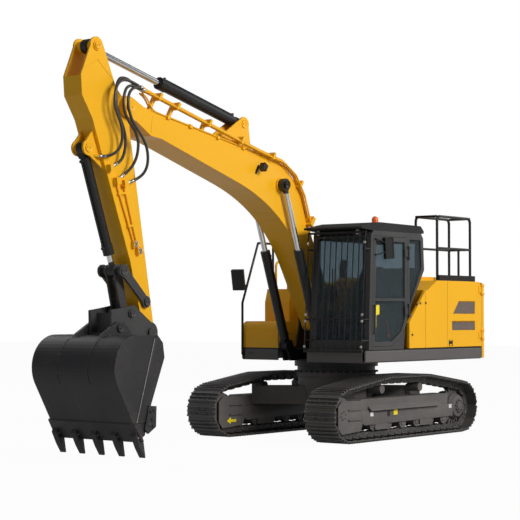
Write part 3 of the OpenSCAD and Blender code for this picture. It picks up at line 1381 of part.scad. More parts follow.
// Bucket shell: curved back and floor, side plates, lip and ears
floor_angle = -29;
lip_end = [728, -1235];
bucket_mouth_x = 420;
floor_start = bucket_c + bucket_r * [cos(floor_angle), sin(floor_angle)];
floor_dir = unit(lip_end - floor_start);
shell_in = bucket_r - bucket_t;
bucket_wrap = concat([[bucket_mouth_x, bucket_top]], [[bucket_mouth_x, bucket_top - bucket_t]],
  arc(bucket_c, shell_in, 90, floor_angle, 16), [lip_end - left_of(floor_dir) * bucket_t], [lip_end],
  arc(bucket_c, bucket_r, floor_angle, 90, 16));
bucket_cheek = concat([[bucket_mouth_x, bucket_top], [bucket_mouth_x - 90, bucket_top - 90], [300, -289],
    [556, -877], [640, -1180]],
  [lip_end], arc(bucket_c, bucket_r, floor_angle, 90, 16));
module bucket() {
  half = bucket_w / 2;
  ear_y = coupler_y0 + coupler_t + 4;
  color(black) placed() bucket_frame() {
    across(-half, half) polygon(bucket_wrap);
    for (s = [-1, 1]) {
      across(min(s * half, s * (half - bucket_t)), max(s * half,
          s * (half - bucket_t))) polygon(bucket_cheek);
      // Ear that holds the coupler's pin
      across(min(s * ear_y, s * (ear_y + 40)), max(s * ear_y,
          s * (ear_y + 40))) polygon([[bucket_mouth_x - 40, bucket_top - 60],
        [960, bucket_top - 60], [880, bucket_top + 20], [640, 130], [520, 130], [bucket_mouth_x - 20, 20]]);
    }
    // Lip plate, wider than the shell
    across(-half - 30, half + 30) polygon([lip_end + floor_dir * 30,
        lip_end + floor_dir * 30 - left_of(floor_dir) * 26,
      lip_end - floor_dir * 210 - left_of(floor_dir) * 40, lip_end - floor_dir * 210]);
    for (s = [-1, 1]) bar_y([600, 60], min(s * (ear_y - 4), s * (ear_y + 52)), max(s * (ear_y - 4),
        s * (ear_y + 52)), 40);
  }
}

// Row of tapered teeth that clasp the lip
module bucket_teeth() {
  span = bucket_w - 60;
  out = left_of(floor_dir);
  a = lip_end + floor_dir * 30.2 + out * 0.2;
  tip = tooth_len * (0.98 * floor_dir + 0.2 * out);
  color(black) placed() bucket_frame() for (k = [0:tooth_count - 1])
    translate([0, -span / 2 + k * span / (tooth_count - 1), 0]) across(-42,
        42) polygon([a - floor_dir * 150, a, a - out * 26,
      a + floor_dir * 24 - out * 30, a + tip - out * 8, a + tip + out * 8, a + floor_dir * 50 + out * 54,
          a - floor_dir * 110 + out * 46]);
}

// Bolted cutters on the lower front edges of the side plates
module side_cutters() {
  half = bucket_w / 2;
  color(black) placed() bucket_frame() for (s = [-1, 1]) across(min(s * half, s * (half + 28)),
      max(s * half, s * (half + 28)))
    polygon([[470, -850], [600, -840], [668, -1110], [610, -1165], [478, -1090]]);
}

car_body();
tie_lugs();
track_frames();
swing_ring_lower();
track_left();
track_right();
idlers();
sprockets();
final_drives();
lower_rollers();
carrier_rollers();
platform();
swing_ring_upper();
side_skirts();
counterweight();
engine_block();
house_frame();
left_panels();
left_door();
right_panels();
right_door();
engine_hood();
exhaust();
handrails();
fuel_tank();
tool_box();
right_mirror();
cab_frame();
cab_glass();
cab_roof();
front_guard();
operator_chair();
cab_controls();
beacon();
cab_door();
door_glass();
door_mirror();
boom();
boom_pipes();
hose_1();
hose_2();
hose_3();
hose_4();
boom_lamp();
boom_cylinder_barrels();
boom_cylinder_rods();
arm();
arm_pipes();
arm_cylinder_barrel();
arm_cylinder_rod();
bucket_cylinder_barrel();
bucket_cylinder_rod();
rocker_links();
push_link();
coupler();
bucket();
bucket_teeth();
side_cutters();
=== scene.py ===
"""Crawler excavator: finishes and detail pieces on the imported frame."""
import math
import bpy
from mathutils import Matrix, Vector


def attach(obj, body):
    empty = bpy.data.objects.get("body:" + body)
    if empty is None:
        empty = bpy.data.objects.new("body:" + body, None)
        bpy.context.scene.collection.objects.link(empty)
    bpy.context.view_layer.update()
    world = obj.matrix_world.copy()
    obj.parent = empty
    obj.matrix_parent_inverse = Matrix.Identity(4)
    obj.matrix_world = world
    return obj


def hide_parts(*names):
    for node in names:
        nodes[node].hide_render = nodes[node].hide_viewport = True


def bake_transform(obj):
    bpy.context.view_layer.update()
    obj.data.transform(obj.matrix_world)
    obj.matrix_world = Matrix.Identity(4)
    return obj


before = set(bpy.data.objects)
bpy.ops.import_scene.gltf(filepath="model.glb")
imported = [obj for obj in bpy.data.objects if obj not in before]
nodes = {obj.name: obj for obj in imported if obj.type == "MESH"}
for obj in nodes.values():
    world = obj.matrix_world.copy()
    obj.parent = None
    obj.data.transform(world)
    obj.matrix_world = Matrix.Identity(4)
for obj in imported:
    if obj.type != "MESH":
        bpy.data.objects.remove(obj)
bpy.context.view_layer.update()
bpy.ops.object.select_all(action="DESELECT")

# Places of the main pins in the shared frame, in metres
SHIFT = 1.4421879
BOOM_Y = -0.070
TRACK_Y = 0.995
WHEEL_X, WHEEL_Z = 1.460, 0.366
HOUSE_Y = 1.245
BUCKET_HALF = 0.698


def at(x, y, z):
    """A point given from the swing axis, moved into the shared frame."""
    return Vector((x - SHIFT, y, z))


def turned(origin, degrees, point):
    a = math.radians(degrees)
    return (origin[0] + point[0] * math.cos(a) - point[1] * math.sin(a),
            origin[1] + point[0] * math.sin(a) + point[1] * math.cos(a))


BOOM_FOOT = (0.335, 1.590)
BOOM_ANGLE = 31.8
BOOM_TIP = turned(BOOM_FOOT, BOOM_ANGLE, (4.889, 0))
ARM_ANGLE = -98.6
ARM_TIP = turned(BOOM_TIP, ARM_ANGLE, (2.733, 0))


def on_boom(u, y, v):
    x, z = turned(BOOM_FOOT, BOOM_ANGLE, (u, v))
    return at(x, BOOM_Y + y, z)


def on_arm(u, y, v):
    x, z = turned(BOOM_TIP, ARM_ANGLE, (u, v))
    return at(x, BOOM_Y + y, z)


def on_bucket(x, y, z):
    return at(ARM_TIP[0] + x, BOOM_Y + y, ARM_TIP[1] + z)


BOOM_ROD_PIN = on_boom(1.964, 0, 0.934)
ARM_ROD_PIN = on_arm(-0.748, 0, 0.402)
BUCKET_ROD_PIN = at(4.554, BOOM_Y, 2.206)
ROD_EYE_R = 0.118


# Camera at the photograph's view
camera_data = bpy.data.cameras.new("photo_view")
camera = bpy.data.objects.new("photo_view", camera_data)
bpy.context.scene.collection.objects.link(camera)
yaw, pitch = math.radians(217.705), math.radians(1.9606)
camera.location = at(18.6395, 13.0440, 1.6792)
camera.rotation_mode = "QUATERNION"
look = Vector((math.cos(yaw) * math.cos(pitch), math.sin(yaw) * math.cos(pitch), math.sin(pitch)))
camera.rotation_quaternion = look.to_track_quat("-Z", "Y")
camera_data.sensor_width = 36
camera_data.lens = 110.85
camera_data.clip_end = 200
bpy.context.scene.camera = camera
bpy.context.scene.view_settings.view_transform = "Standard"


# Shared shader effects
def fill(node, values):
    """Set constants on a node's sockets, or link other nodes' outputs to them."""
    for label, value in values.items():
        if isinstance(value, bpy.types.NodeSocket):
            node.id_data.links.new(value, node.inputs[label])
        else:
            node.inputs[label].default_value = value


def add(tree, kind, values, **settings):
    """The outputs of a new shader node, with its settings and sockets filled in."""
    node = tree.nodes.new("ShaderNode" + kind)
    for label, value in settings.items():
        setattr(node, label, value)
    fill(node, values)
    return node.outputs


def new_group(name, inputs, outputs):
    group = bpy.data.node_groups.new(name, "ShaderNodeTree")
    for label, kind, value in inputs:
        socket = group.interface.new_socket(label, in_out="INPUT", socket_type=kind)
        socket.default_value = value
    for label, kind in outputs:
        group.interface.new_socket(label, in_out="OUTPUT", socket_type=kind)
    return group, group.nodes.new("NodeGroupInput").outputs, group.nodes.new("NodeGroupOutput")


def new_material(name):
    material = bpy.data.materials.new(name)
    material.use_nodes = True
    return material, material.node_tree, material.node_tree.nodes["Principled BSDF"]


def object_coords(tree):
    return add(tree, "TexCoord", {})["Object"]


def noise(tree, coords, scale, detail, rough=0.55):
    values = {"Vector": coords, "Scale": scale, "Detail": detail, "Roughness": rough}
    return add(tree, "TexNoise", values)["Fac"]


def wave(tree, coords, direction, scale):
    return add(tree, "TexWave", {"Vector": coords, "Scale": scale}, bands_direction=direction)["Fac"]


def bump(tree, height, strength, distance, **more):
    return add(tree, "Bump", {"Height": height, "Strength": strength, "Distance": distance, **more})["Normal"]


def spread(tree, value, low, high, to_low=0.0, to_high=1.0):
    values = {"Value": value, "From Min": low, "From Max": high, "To Min": to_low, "To Max": to_high}
    return add(tree, "MapRange", values, interpolation_type="SMOOTHSTEP")["Result"]


def maths(tree, kind, a, b):
    return add(tree, "Math", {0: a, 1: b}, operation=kind)["Value"]


def times(tree, product, *others):
    for other in others:
        product = maths(tree, "MULTIPLY", product, other)
    return product


def mixed(tree, fac, a, b):
    return add(tree, "Mix", {"Factor": fac, 6: a, 7: b}, data_type="RGBA")[2]


def mix_shaders(tree, factor, first, second, output):
    """Join two shaders to a tree's output, the second where the factor is 1."""
    blend = add(tree, "MixShader", {0: factor, 1: first, 2: second})
    fill(tree.nodes[output], {"Surface": blend["Shader"]})


def make_worn_coat():
    """Paint or steel colour with tone drift, dust low down and in patches, and bare edges."""
    group, given, result = new_group("worn_coat", [
        ("Colour", "NodeSocketColor", (0.8, 0.4, 0.02, 1)), ("Dust", "NodeSocketColor", (0.3, 0.26, 0.2, 1)),
        ("Bare", "NodeSocketColor", (0.3, 0.3, 0.3, 1)), ("Dust Amount", "NodeSocketFloat", 0.2),
        ("Wear Amount", "NodeSocketFloat", 0.3), ("Tone", "NodeSocketFloat", 0.1),
        ("Gloss", "NodeSocketFloat", 0.35), ("Edge Size", "NodeSocketFloat", 0.006)],
        [("Colour", "NodeSocketColor"), ("Roughness", "NodeSocketFloat"), ("Normal", "NodeSocketVector")])
    coords = object_coords(group)
    broad = noise(group, coords, 1.7, 5)
    fine = noise(group, coords, 23.0, 6, 0.65)
    grit = noise(group, coords, 160.0, 3)
    edge = add(group, "Bevel", {"Radius": given["Edge Size"]}, samples=4)["Normal"]
    flat = add(group, "NewGeometry", {})["Normal"]
    level = add(group, "VectorMath", {0: edge, 1: flat}, operation="DOT_PRODUCT")["Value"]
    corner = spread(group, level, 0.985, 0.86)
    bare = times(group, corner, spread(group, fine, 0.5, 0.62), given["Wear Amount"])
    low_down = spread(group, add(group, "SeparateXYZ", {0: coords})["Z"], 1.1, 0.0, 0.25, 1.0)
    patch = times(group, spread(group, broad, 0.35, 0.75), spread(group, fine, 0.3, 0.75))
    dust = times(group, patch, low_down, given["Dust Amount"])
    drift = times(group, maths(group, "SUBTRACT", broad, 0.5), given["Tone"])
    tone = add(group, "HueSaturation", {"Color": given["Colour"], "Value": maths(group, "ADD", drift, 1.0)})
    dusty = mixed(group, dust, tone["Color"], given["Dust"])
    rough = maths(group, "ADD", given["Gloss"], times(group, dust, 0.45))
    rough = maths(group, "ADD", rough, times(group, maths(group, "SUBTRACT", fine, 0.5), 0.16))
    grain = maths(group, "ADD", grit, times(group, fine, 0.8))
    fill(result, {"Colour": mixed(group, bare, dusty, given["Bare"]), "Roughness": rough,
                  "Normal": bump(group, grain, 0.06, 0.002, Normal=edge)})
    return group


worn_coat = make_worn_coat()


def coat(name, colour, gloss, dust, wear, tone, edge=0.006, metallic=0.0, coat_weight=0.0,
         dust_colour=(0.33, 0.29, 0.23, 1), bare=(0.32, 0.31, 0.30, 1)):
    material, tree, shader = new_material(name)
    effect = tree.nodes.new("ShaderNodeGroup")
    effect.node_tree = worn_coat
    fill(effect, {"Colour": (*colour, 1), "Dust": dust_colour, "Bare": bare, "Dust Amount": dust,
                  "Wear Amount": wear, "Tone": tone, "Gloss": gloss, "Edge Size": edge})
    fill(shader, {"Base Color": effect.outputs["Colour"], "Roughness": effect.outputs["Roughness"],
                  "Normal": effect.outputs["Normal"], "Metallic": metallic, "Coat Weight": coat_weight,
                  "Specular IOR Level": 0.3, "Coat Roughness": 0.12})
    material.diffuse_color = (*colour, 1)
    return material


yellow_paint = coat("yellow_paint", (0.91, 0.465, 0.011), gloss=0.34, dust=0.07, wear=0.10, tone=0.10,
                    coat_weight=0.06)
grey_paint = coat("charcoal_paint", (0.050, 0.050, 0.052), gloss=0.42, dust=0.22, wear=0.30, tone=0.35)
frame_paint = coat("track_frame_paint", (0.112, 0.106, 0.105), gloss=0.5, dust=0.30, wear=0.35, tone=0.4)
skirt_paint = coat("skirt_paint", (0.110, 0.105, 0.104), gloss=0.40, dust=0.10, wear=0.2, tone=0.25)
black_paint = coat("black_paint", (0.014, 0.014, 0.015), gloss=0.36, dust=0.12, wear=0.25, tone=0.3)
track_steel = coat("track_steel", (0.100, 0.097, 0.097), gloss=0.42, dust=0.40, wear=0.9, tone=0.6,
                   metallic=0.35, bare=(0.26, 0.25, 0.25, 1), dust_colour=(0.14, 0.125, 0.115, 1))
bucket_steel = coat("bucket_paint", (0.030, 0.029, 0.032), gloss=0.45, dust=0.22, wear=0.5, tone=0.5,
                    edge=0.008)
dark_plastic = coat("dark_plastic", (0.012, 0.012, 0.013), gloss=0.55, dust=0.10, wear=0.05, tone=0.3)
hose_rubber = coat("hose_rubber", (0.050, 0.046, 0.042), gloss=0.30, dust=0.25, wear=0.0, tone=0.5,
                   edge=0.002)
zinc = coat("zinc_plate", (0.55, 0.55, 0.53), gloss=0.3, dust=0.1, wear=0.1, tone=0.2, metallic=0.9)
engine_metal = coat("engine_metal", (0.12, 0.12, 0.12), gloss=0.5, dust=0.4, wear=0.2, tone=0.4, metallic=0.5)
worn_weld = coat("worn_weld", (0.30, 0.29, 0.28), gloss=0.4, dust=0.2, wear=0.0, tone=0.8, metallic=0.5)
bright_plate = coat("bright_plate", (0.90, 0.72, 0.02), gloss=0.45, dust=0.04, wear=0.0, tone=0.06)
orange = coat("orange_paint", (0.80, 0.13, 0.02), gloss=0.4, dust=0.05, wear=0.0, tone=0.1)
grille_paint = coat("grille_paint", (0.155, 0.122, 0.104), gloss=0.55, dust=0.10, wear=0.0, tone=0.2)
white_paint = coat("white_plate", (0.75, 0.75, 0.74), gloss=0.4, dust=0.1, wear=0.0, tone=0.06)


def make_rod_steel(name, eye):
    """Chrome with a black painted eye round the pin at the rod's end."""
    material, tree, shader = new_material(name)
    coords = object_coords(tree)
    place = add(tree, "SeparateXYZ", {0: coords})
    across = maths(tree, "POWER", maths(tree, "SUBTRACT", place["X"], eye.x), 2)
    along = maths(tree, "POWER", maths(tree, "SUBTRACT", place["Z"], eye.z), 2)
    painted = spread(tree, maths(tree, "ADD", across, along), (ROD_EYE_R + 0.004) ** 2, ROD_EYE_R ** 2)
    streaks = noise(tree, coords, 14.0, 5)
    steel = mixed(tree, streaks, (0.60, 0.61, 0.63, 1), (0.78, 0.79, 0.81, 1))
    gloss = spread(tree, streaks, 0.3, 0.8, 0.10, 0.20)
    fill(shader, {"Base Color": mixed(tree, painted, steel, (0.014, 0.014, 0.015, 1)),
                  "Metallic": maths(tree, "SUBTRACT", 1.0, painted),
                  "Roughness": maths(tree, "ADD", gloss, times(tree, painted, 0.3))})
    return material


boom_rod_steel = make_rod_steel("boom_rod_steel", BOOM_ROD_PIN)
arm_rod_steel = make_rod_steel("arm_rod_steel", ARM_ROD_PIN)
bucket_rod_steel = make_rod_steel("bucket_rod_steel", BUCKET_ROD_PIN)


def make_glass():
    material, tree, shader = new_material("window_glass")
    shader.inputs["Base Color"].default_value = (0.27, 0.33, 0.36, 1)
    shader.inputs["Transmission Weight"].default_value = 0.91
    shader.inputs["IOR"].default_value = 1.12
    smear = noise(tree, object_coords(tree), 5.0, 5)
    fill(shader, {"Roughness": spread(tree, smear, 0.4, 0.8, 0.01, 0.06)})
    return material


def make_amber():
    material, tree, shader = new_material("amber_lens")
    ribs = wave(tree, object_coords(tree), "Z", 30.0)
    colour = mixed(tree, ribs, (0.75, 0.10, 0.01, 1), (0.95, 0.20, 0.02, 1))
    fill(shader, {"Base Color": colour, "Normal": bump(tree, ribs, 0.3, 0.002), "Roughness": 0.15})
    return material


def make_cloth():
    material, tree, shader = new_material("chair_cloth")
    coords = object_coords(tree)
    weave = maths(tree, "MULTIPLY", wave(tree, coords, "Y", 180.0), wave(tree, coords, "Z", 180.0))
    colour = mixed(tree, weave, (0.018, 0.018, 0.020, 1), (0.045, 0.045, 0.050, 1))
    fill(shader, {"Base Color": colour, "Normal": bump(tree, weave, 0.3, 0.001), "Roughness": 0.9,
                  "Sheen Weight": 0.3})
    return material


window_glass = make_glass()
amber_lens = make_amber()
chair_cloth = make_cloth()

NODE_FINISHES = (
    (yellow_paint, "boom boom_pipes arm arm_pipes counterweight house_frame left_panels left_door"),
    (yellow_paint, "right_panels right_door engine_hood fuel_tank tool_box"),
    (skirt_paint, "side_skirts"),
    (grey_paint, "cab_frame cab_door rocker_links push_link coupler"),
    (frame_paint, "car_body tie_lugs track_frames idlers sprockets final_drives lower_rollers"),
    (frame_paint, "carrier_rollers"),
    (black_paint, "platform handrails right_mirror front_guard boom_lamp exhaust boom_cylinder_barrels"),
    (black_paint, "arm_cylinder_barrel bucket_cylinder_barrel swing_ring_lower swing_ring_upper"),
    (track_steel, "track_left track_right"),
    (bucket_steel, "bucket bucket_teeth side_cutters"),
    (boom_rod_steel, "boom_cylinder_rods"),
    (arm_rod_steel, "arm_cylinder_rod"),
    (bucket_rod_steel, "bucket_cylinder_rod"),
    (window_glass, "cab_glass door_glass"),
    (dark_plastic, "cab_roof cab_controls door_mirror"),
    (amber_lens, "beacon"),
    (chair_cloth, "operator_chair"),
    (hose_rubber, "hose_1 hose_2 hose_3 hose_4"),
    (engine_metal, "engine_block"),
)
for finish, names in NODE_FINISHES:
    for node_name in names.split():
        nodes[node_name].data.materials.clear()
        nodes[node_name].data.materials.append(finish)


# Floor, backdrop and light
def make_floor():
    bpy.ops.mesh.primitive_plane_add(size=120, location=(0, 0, -0.004))
    floor = bpy.context.object
    floor.name = "studio_floor"
    bpy.ops.object.transform_apply(location=True, rotation=True, scale=True)
    material, tree, shader = new_material("studio_floor")
    fill(shader, {"Base Color": (0.42, 0.42, 0.42, 1), "Roughness": 0.9, "Specular IOR Level": 0.0})
    path = add(tree, "LightPath", {})
    mirrored = times(tree, path["Is Glossy Ray"], 0.35)
    seen = maths(tree, "MAXIMUM", path["Is Camera Ray"],
                 maths(tree, "MAXIMUM", mirrored, path["Is Transmission Ray"]))
    mix_shaders(tree, times(tree, seen, 0.965), shader.outputs["BSDF"], add(tree, "Emission", {})["Emission"],
                "Material Output")
    floor.data.materials.append(material)


make_floor()


def make_world():
    world = bpy.data.worlds.new("studio")
    bpy.context.scene.world = world
    world.use_nodes = True
    tree = world.node_tree
    back = tree.nodes["Background"]
    fill(back, {"Color": (0.92, 0.95, 1.0, 1), "Strength": 0.20})
    white = add(tree, "Background", {"Color": (1, 1, 1, 1), "Strength": 1.0})
    path = add(tree, "LightPath", {})
    seen = maths(tree, "MAXIMUM", path["Is Camera Ray"], path["Is Transmission Ray"])
    mix_shaders(tree, seen, back.outputs["Background"], white["Background"], "World Output")


make_world()


def area_light(name, place, aim, size, power, colour=(1, 1, 1)):
    data = bpy.data.lights.new(name, "AREA")
    data.size = size
    data.energy = power
    data.color = colour
    lamp = bpy.data.objects.new(name, data)
    bpy.context.scene.collection.objects.link(lamp)
    lamp.location = place
    lamp.rotation_mode = "QUATERNION"
    lamp.rotation_quaternion = (Vector(aim) - Vector(place)).to_track_quat("-Z", "Y")


area_light("key_light", (0.5, 19, 11.5), (0, 0, 2), 8, 3650, (1.0, 0.97, 0.92))
area_light("fill_light", (13, -2, 5), (1, 0, 2), 8, 70)
area_light("rear_light", (-12, 5, 8), (0, 0, 2), 8, 300)
area_light("side_light", (-2, -16, 8), (0, 0, 1.5), 9, 900)

# Body, material and slot of pieces that share them
TRACK_PART = ("undercarriage", frame_paint, "grey_paint")
BUCKET_PART = ("bucket", bucket_steel, "bucket_steel")
BOOM_PART = ("boom", yellow_paint, "yellow_paint")
CAB_PLASTIC = ("upper", dark_plastic, "black_plastic")


# Modelling steps that every piece is made with
def deselect():
    bpy.ops.object.select_all(action="DESELECT")


def only(piece):
    deselect()
    piece.select_set(True)
    bpy.context.view_layer.objects.active = piece


def settle(piece):
    only(piece)
    bpy.ops.object.transform_apply(location=True, rotation=True, scale=True)
    return piece


def block(name, low, high):
    """A box between two corners."""
    deselect()
    bpy.ops.mesh.primitive_cube_add(size=1, location=[(a + b) / 2 for a, b in zip(low, high)])
    piece = bpy.context.object
    piece.name = name
    piece.scale = [abs(b - a) for a, b in zip(low, high)]
    return settle(piece)


def rod(name, start, end, radius, sides=24):
    """A round bar between two points."""
    start, end = Vector(start), Vector(end)
    way = end - start
    deselect()
    bpy.ops.mesh.primitive_cylinder_add(
        vertices=sides, radius=radius, depth=way.length, location=(start + end) / 2,
        rotation=way.to_track_quat("Z", "Y").to_euler())
    piece = bpy.context.object
    piece.name = name
    return settle(piece)


def pick(piece, kind, test):
    """Edit mode with the faces, edges or points that pass a test selected."""
    only(piece)
    bpy.ops.object.mode_set(mode="EDIT")
    bpy.ops.mesh.select_mode(type=kind)
    bpy.ops.mesh.select_all(action="DESELECT")
    bpy.ops.object.mode_set(mode="OBJECT")
    mesh = piece.data
    if kind == "FACE":
        for face in mesh.polygons:
            face.select = bool(test(face.center, face.normal))
    elif kind == "EDGE":
        for edge in mesh.edges:
            a, b = (mesh.vertices[i].co for i in edge.vertices)
            edge.select = bool(test(a, b))
    else:
        for vertex in mesh.vertices:
            vertex.select = bool(test(vertex.co))
    bpy.ops.object.mode_set(mode="EDIT")


def leave():
    bpy.ops.object.mode_set(mode="OBJECT")


def pick_all(piece):
    only(piece)
    bpy.ops.object.mode_set(mode="EDIT")
    bpy.ops.mesh.select_all(action="SELECT")


def extrude(vector):
    bpy.ops.mesh.extrude_region_move(TRANSFORM_OT_translate={"value": tuple(vector)})


def inset(piece, test, *steps):
    """Inset the faces that pass a test, once for each thickness and depth."""
    pick(piece, "FACE", test)
    for thickness, depth in steps:
        bpy.ops.mesh.inset(thickness=thickness, depth=depth)
    leave()


def round_edges(piece, test, offset, segments):
    pick(piece, "EDGE", test)
    bpy.ops.mesh.bevel(offset=offset, segments=segments)
    leave()


def scale_points(piece, test, factors, centre):
    pick(piece, "VERT", test)
    bpy.ops.transform.resize(value=factors, center_override=centre)
    leave()


def move_points(piece, test, vector):
    pick(piece, "VERT", test)
    bpy.ops.transform.translate(value=vector)
    leave()


def apply(piece, modifier):
    only(piece)
    bpy.ops.object.modifier_apply(modifier=modifier.name)


def soften(piece, width, segments=2, angle=30):
    """Bevel the hard edges."""
    bevel = piece.modifiers.new("edges", "BEVEL")
    bevel.width = width
    bevel.segments = segments
    bevel.limit_method = "ANGLE"
    bevel.angle_limit = math.radians(angle)
    apply(piece, bevel)
    return piece


def cut(piece, point, normal):
    """A new edge loop where a plane crosses the piece."""
    pick_all(piece)
    bpy.ops.mesh.bisect(plane_co=tuple(point), plane_no=tuple(normal))
    leave()


def copy_of(piece, matrix):
    twin = piece.copy()
    twin.data = piece.data.copy()
    bpy.context.scene.collection.objects.link(twin)
    twin.data.transform(matrix)
    return twin


def drop(piece):
    bpy.data.objects.remove(piece)


def joined(name, pieces):
    deselect()
    for piece in pieces:
        piece.select_set(True)
    bpy.context.view_layer.objects.active = pieces[0]
    if len(pieces) > 1:
        bpy.ops.object.join()
    piece = bpy.context.object
    piece.name = name
    return piece


def outward(piece):
    pick_all(piece)
    bpy.ops.mesh.normals_make_consistent(inside=False)
    leave()
    return piece


def done(piece, body, material, slot, smooth=35):
    """Finish a piece: smooth faces, material, body that carries it, if one alone does."""
    settle(piece)
    bpy.ops.object.shade_smooth_by_angle(angle=math.radians(smooth))
    piece.data.materials.clear()
    piece.data.materials.append(material)
    if body:
        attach(piece, body)


def facing(direction, place, spin=0.0):
    """Matrix that stands a piece modelled along +Z on a place, facing a direction."""
    turn = Vector(direction).to_track_quat("Z", "Y").to_matrix().to_4x4()
    return Matrix.Translation(place) @ turn @ Matrix.Rotation(spin, 4, "Z")


def bolt_pattern(radius, height, washer=0.0):
    """A hexagon head with a chamfered top, standing on the origin."""
    head = rod("bolt", (0, 0, -0.002), (0, 0, height), radius, 6)
    pick(head, "FACE", lambda c, n: n.z > 0.9)
    bpy.ops.mesh.inset(thickness=radius * 0.14, depth=0)
    bpy.ops.transform.translate(value=(0, 0, radius * 0.12))
    leave()
    if washer:
        disc = rod("washer", (0, 0, -0.002), (0, 0, washer), radius * 1.35, 16)
        head = joined("bolt", [head, disc])
    return head


def set_out(name, pattern, matrices):
    """Copies of one pattern at the places given, as one piece."""
    pieces = [copy_of(pattern, m) for m in matrices]
    drop(pattern)
    return joined(name, pieces)


def ring_places(centre, axis, radius, count):
    """Places of bolts on a circle, facing along its axis."""
    axis = Vector(axis).normalized()
    side = axis.orthogonal().normalized()
    up = axis.cross(side)
    places = []
    for k in range(count):
        a = 2 * math.pi * k / count
        spot = Vector(centre) + side * radius * math.cos(a) + up * radius * math.sin(a)
        places.append(facing(axis, spot, a))
    return places


# Tracks: shoes with three bars, chain links, pins and shoe bolts
AXLES = ((-WHEEL_X, WHEEL_Z, 0.328), (WHEEL_X, WHEEL_Z, 0.328), (0.480, 0.675, 0.151), (-0.480, 0.675, 0.151))
SHOES = 45
SHOE_HALF, SHOE_T, BAR_H = 0.25, 0.014, 0.024
LINK_H = 0.090


def chain_pins():
    """Pin places round the wheels, the first at the back of the sprocket."""
    loop = []
    for k in range(1440):
        a = math.pi + 2 * math.pi * k / 1440
        n = Vector((math.cos(a), math.sin(a)))
        x, z, r = max(AXLES, key=lambda c: c[0] * n.x + c[1] * n.y + c[2])
        loop.append(Vector((x, z)) + n * (r - LINK_H / 2))
    runs = [(loop[(k + 1) % len(loop)] - loop[k]).length for k in range(len(loop))]
    pitch = sum(runs) / SHOES
    pins, walked, want = [], 0.0, 0.0
    for k, run in enumerate(runs):
        while walked + run >= want and len(pins) < SHOES:
            pins.append(loop[k].lerp(loop[(k + 1) % len(loop)], (want - walked) / max(run, 1e-9)))
            want += pitch
        walked += run
    return pins, pitch


def make_shoe(pitch):
    """One shoe lying at the origin: X along the track, Z away from the chain."""
    deselect()
    bpy.ops.mesh.primitive_plane_add(size=1, location=(0, 0, 0))
    shoe = bpy.context.object
    shoe.scale = (pitch + 0.010, 2 * SHOE_HALF, 1)
    settle(shoe)
    bars = [(-0.43 + 0.35 * k) * pitch for k in range(3)]
    for x in bars:
        cut(shoe, (x - 0.011, 0, 0), (1, 0, 0))
        cut(shoe, (x + 0.011, 0, 0), (1, 0, 0))
    pick(shoe, "FACE", lambda c, n: True)
    extrude((0, 0, SHOE_T))
    leave()
    pick(shoe, "FACE", lambda c, n: n.z > 0.9 and c.z > 0.01 and any(abs(c.x - x) < 0.004 for x in bars))
    extrude((0, 0, BAR_H))
    leave()
    for x in bars:
        scale_points(shoe, lambda v: v.z > 0.03 and abs(v.x - x) < 0.02, (0.55, 0.965, 1), (x, 0, 0))
    outward(shoe)
    scale_points(shoe, lambda v: abs(v.y) > SHOE_HALF - 0.02 and v.x > pitch / 2 and v.z < 0.02,
                 (1, 0.94, 1), (0, 0, 0))
    soften(shoe, 0.0025, 1, 50)
    pick(shoe, "FACE", lambda c, n: n.x > 0.9 and c.x > pitch / 2 and 0.003 < c.z < 0.012)
    extrude((0.016, 0, -0.010))
    extrude((0.020, 0, -0.012))
    leave()
    spots = ((bars[0] + 0.030, 0.085), (bars[1] + 0.030, 0.060))
    bolts = set_out("shoe_bolts", bolt_pattern(0.013, 0.010), [
        Matrix.Translation((x, side * y, SHOE_T)) for x, y in spots for side in (-1, 1)])
    return joined("shoe", [shoe, bolts])


def make_link(pitch, side):
    """One chain link: Z away from the chain as on the shoe, the pins at Z -LINK_H / 2."""
    mid = side * 0.073
    bar = block("link", (-pitch * 0.48, mid - 0.017, -LINK_H + 0.003), (pitch * 0.48, mid + 0.017, 0))
    cut(bar, (-pitch * 0.24, 0, 0), (1, 0, 0))
    cut(bar, (pitch * 0.24, 0, 0), (1, 0, 0))
    move_points(bar, lambda v: abs(v.x) > pitch * 0.4 and v.z < -0.05, (0, 0, 0.018))
    inset(bar, lambda c, n: abs(n.y) > 0.9 and abs(c.x) < pitch * 0.2, (0.013, -0.007))
    soften(bar, 0.004, 1, 40)
    pin = Vector((-pitch / 2, mid, -LINK_H / 2))
    eye = rod("link_eye", pin - Vector((0, 0.023, 0)), pin + Vector((0, 0.023, 0)), 0.036, 20)
    pick(eye, "FACE", lambda c, n: abs(n.y) > 0.9)
    bpy.ops.mesh.inset(thickness=0.012, depth=0)
    bpy.ops.mesh.extrude_region_shrink_fatten(TRANSFORM_OT_shrink_fatten={"value": -0.004})
    leave()
    return joined("link", [bar, eye])


def make_track(name, y, node):
    pins, pitch = chain_pins()
    shoe = make_shoe(pitch)
    bush = rod("bush", (-pitch / 2, -0.052, -LINK_H / 2), (-pitch / 2, 0.052, -LINK_H / 2), 0.022, 14)
    unit = joined("track_unit", [shoe, make_link(pitch, 1), make_link(pitch, -1), bush])
    places = []
    for k in range(SHOES):
        a, b = pins[k], pins[(k + 1) % SHOES]
        along = (b - a).normalized()
        away = Vector((along.y, -along.x))
        mid = (a + b) / 2 + away * LINK_H / 2
        place = Matrix.Identity(4)
        for row, (px, py, pz) in enumerate(((along.x, 0, away.x), (0, 1, 0), (along.y, 0, away.y))):
            place[row][0], place[row][1], place[row][2] = px, py, pz
        place[0][3], place[1][3], place[2][3] = mid.x - SHIFT, y, mid.y
        places.append(place)
    track = set_out(name, unit, places)
    outward(track)
    done(track, "undercarriage", track_steel, "track_steel", 30)
    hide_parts(node)


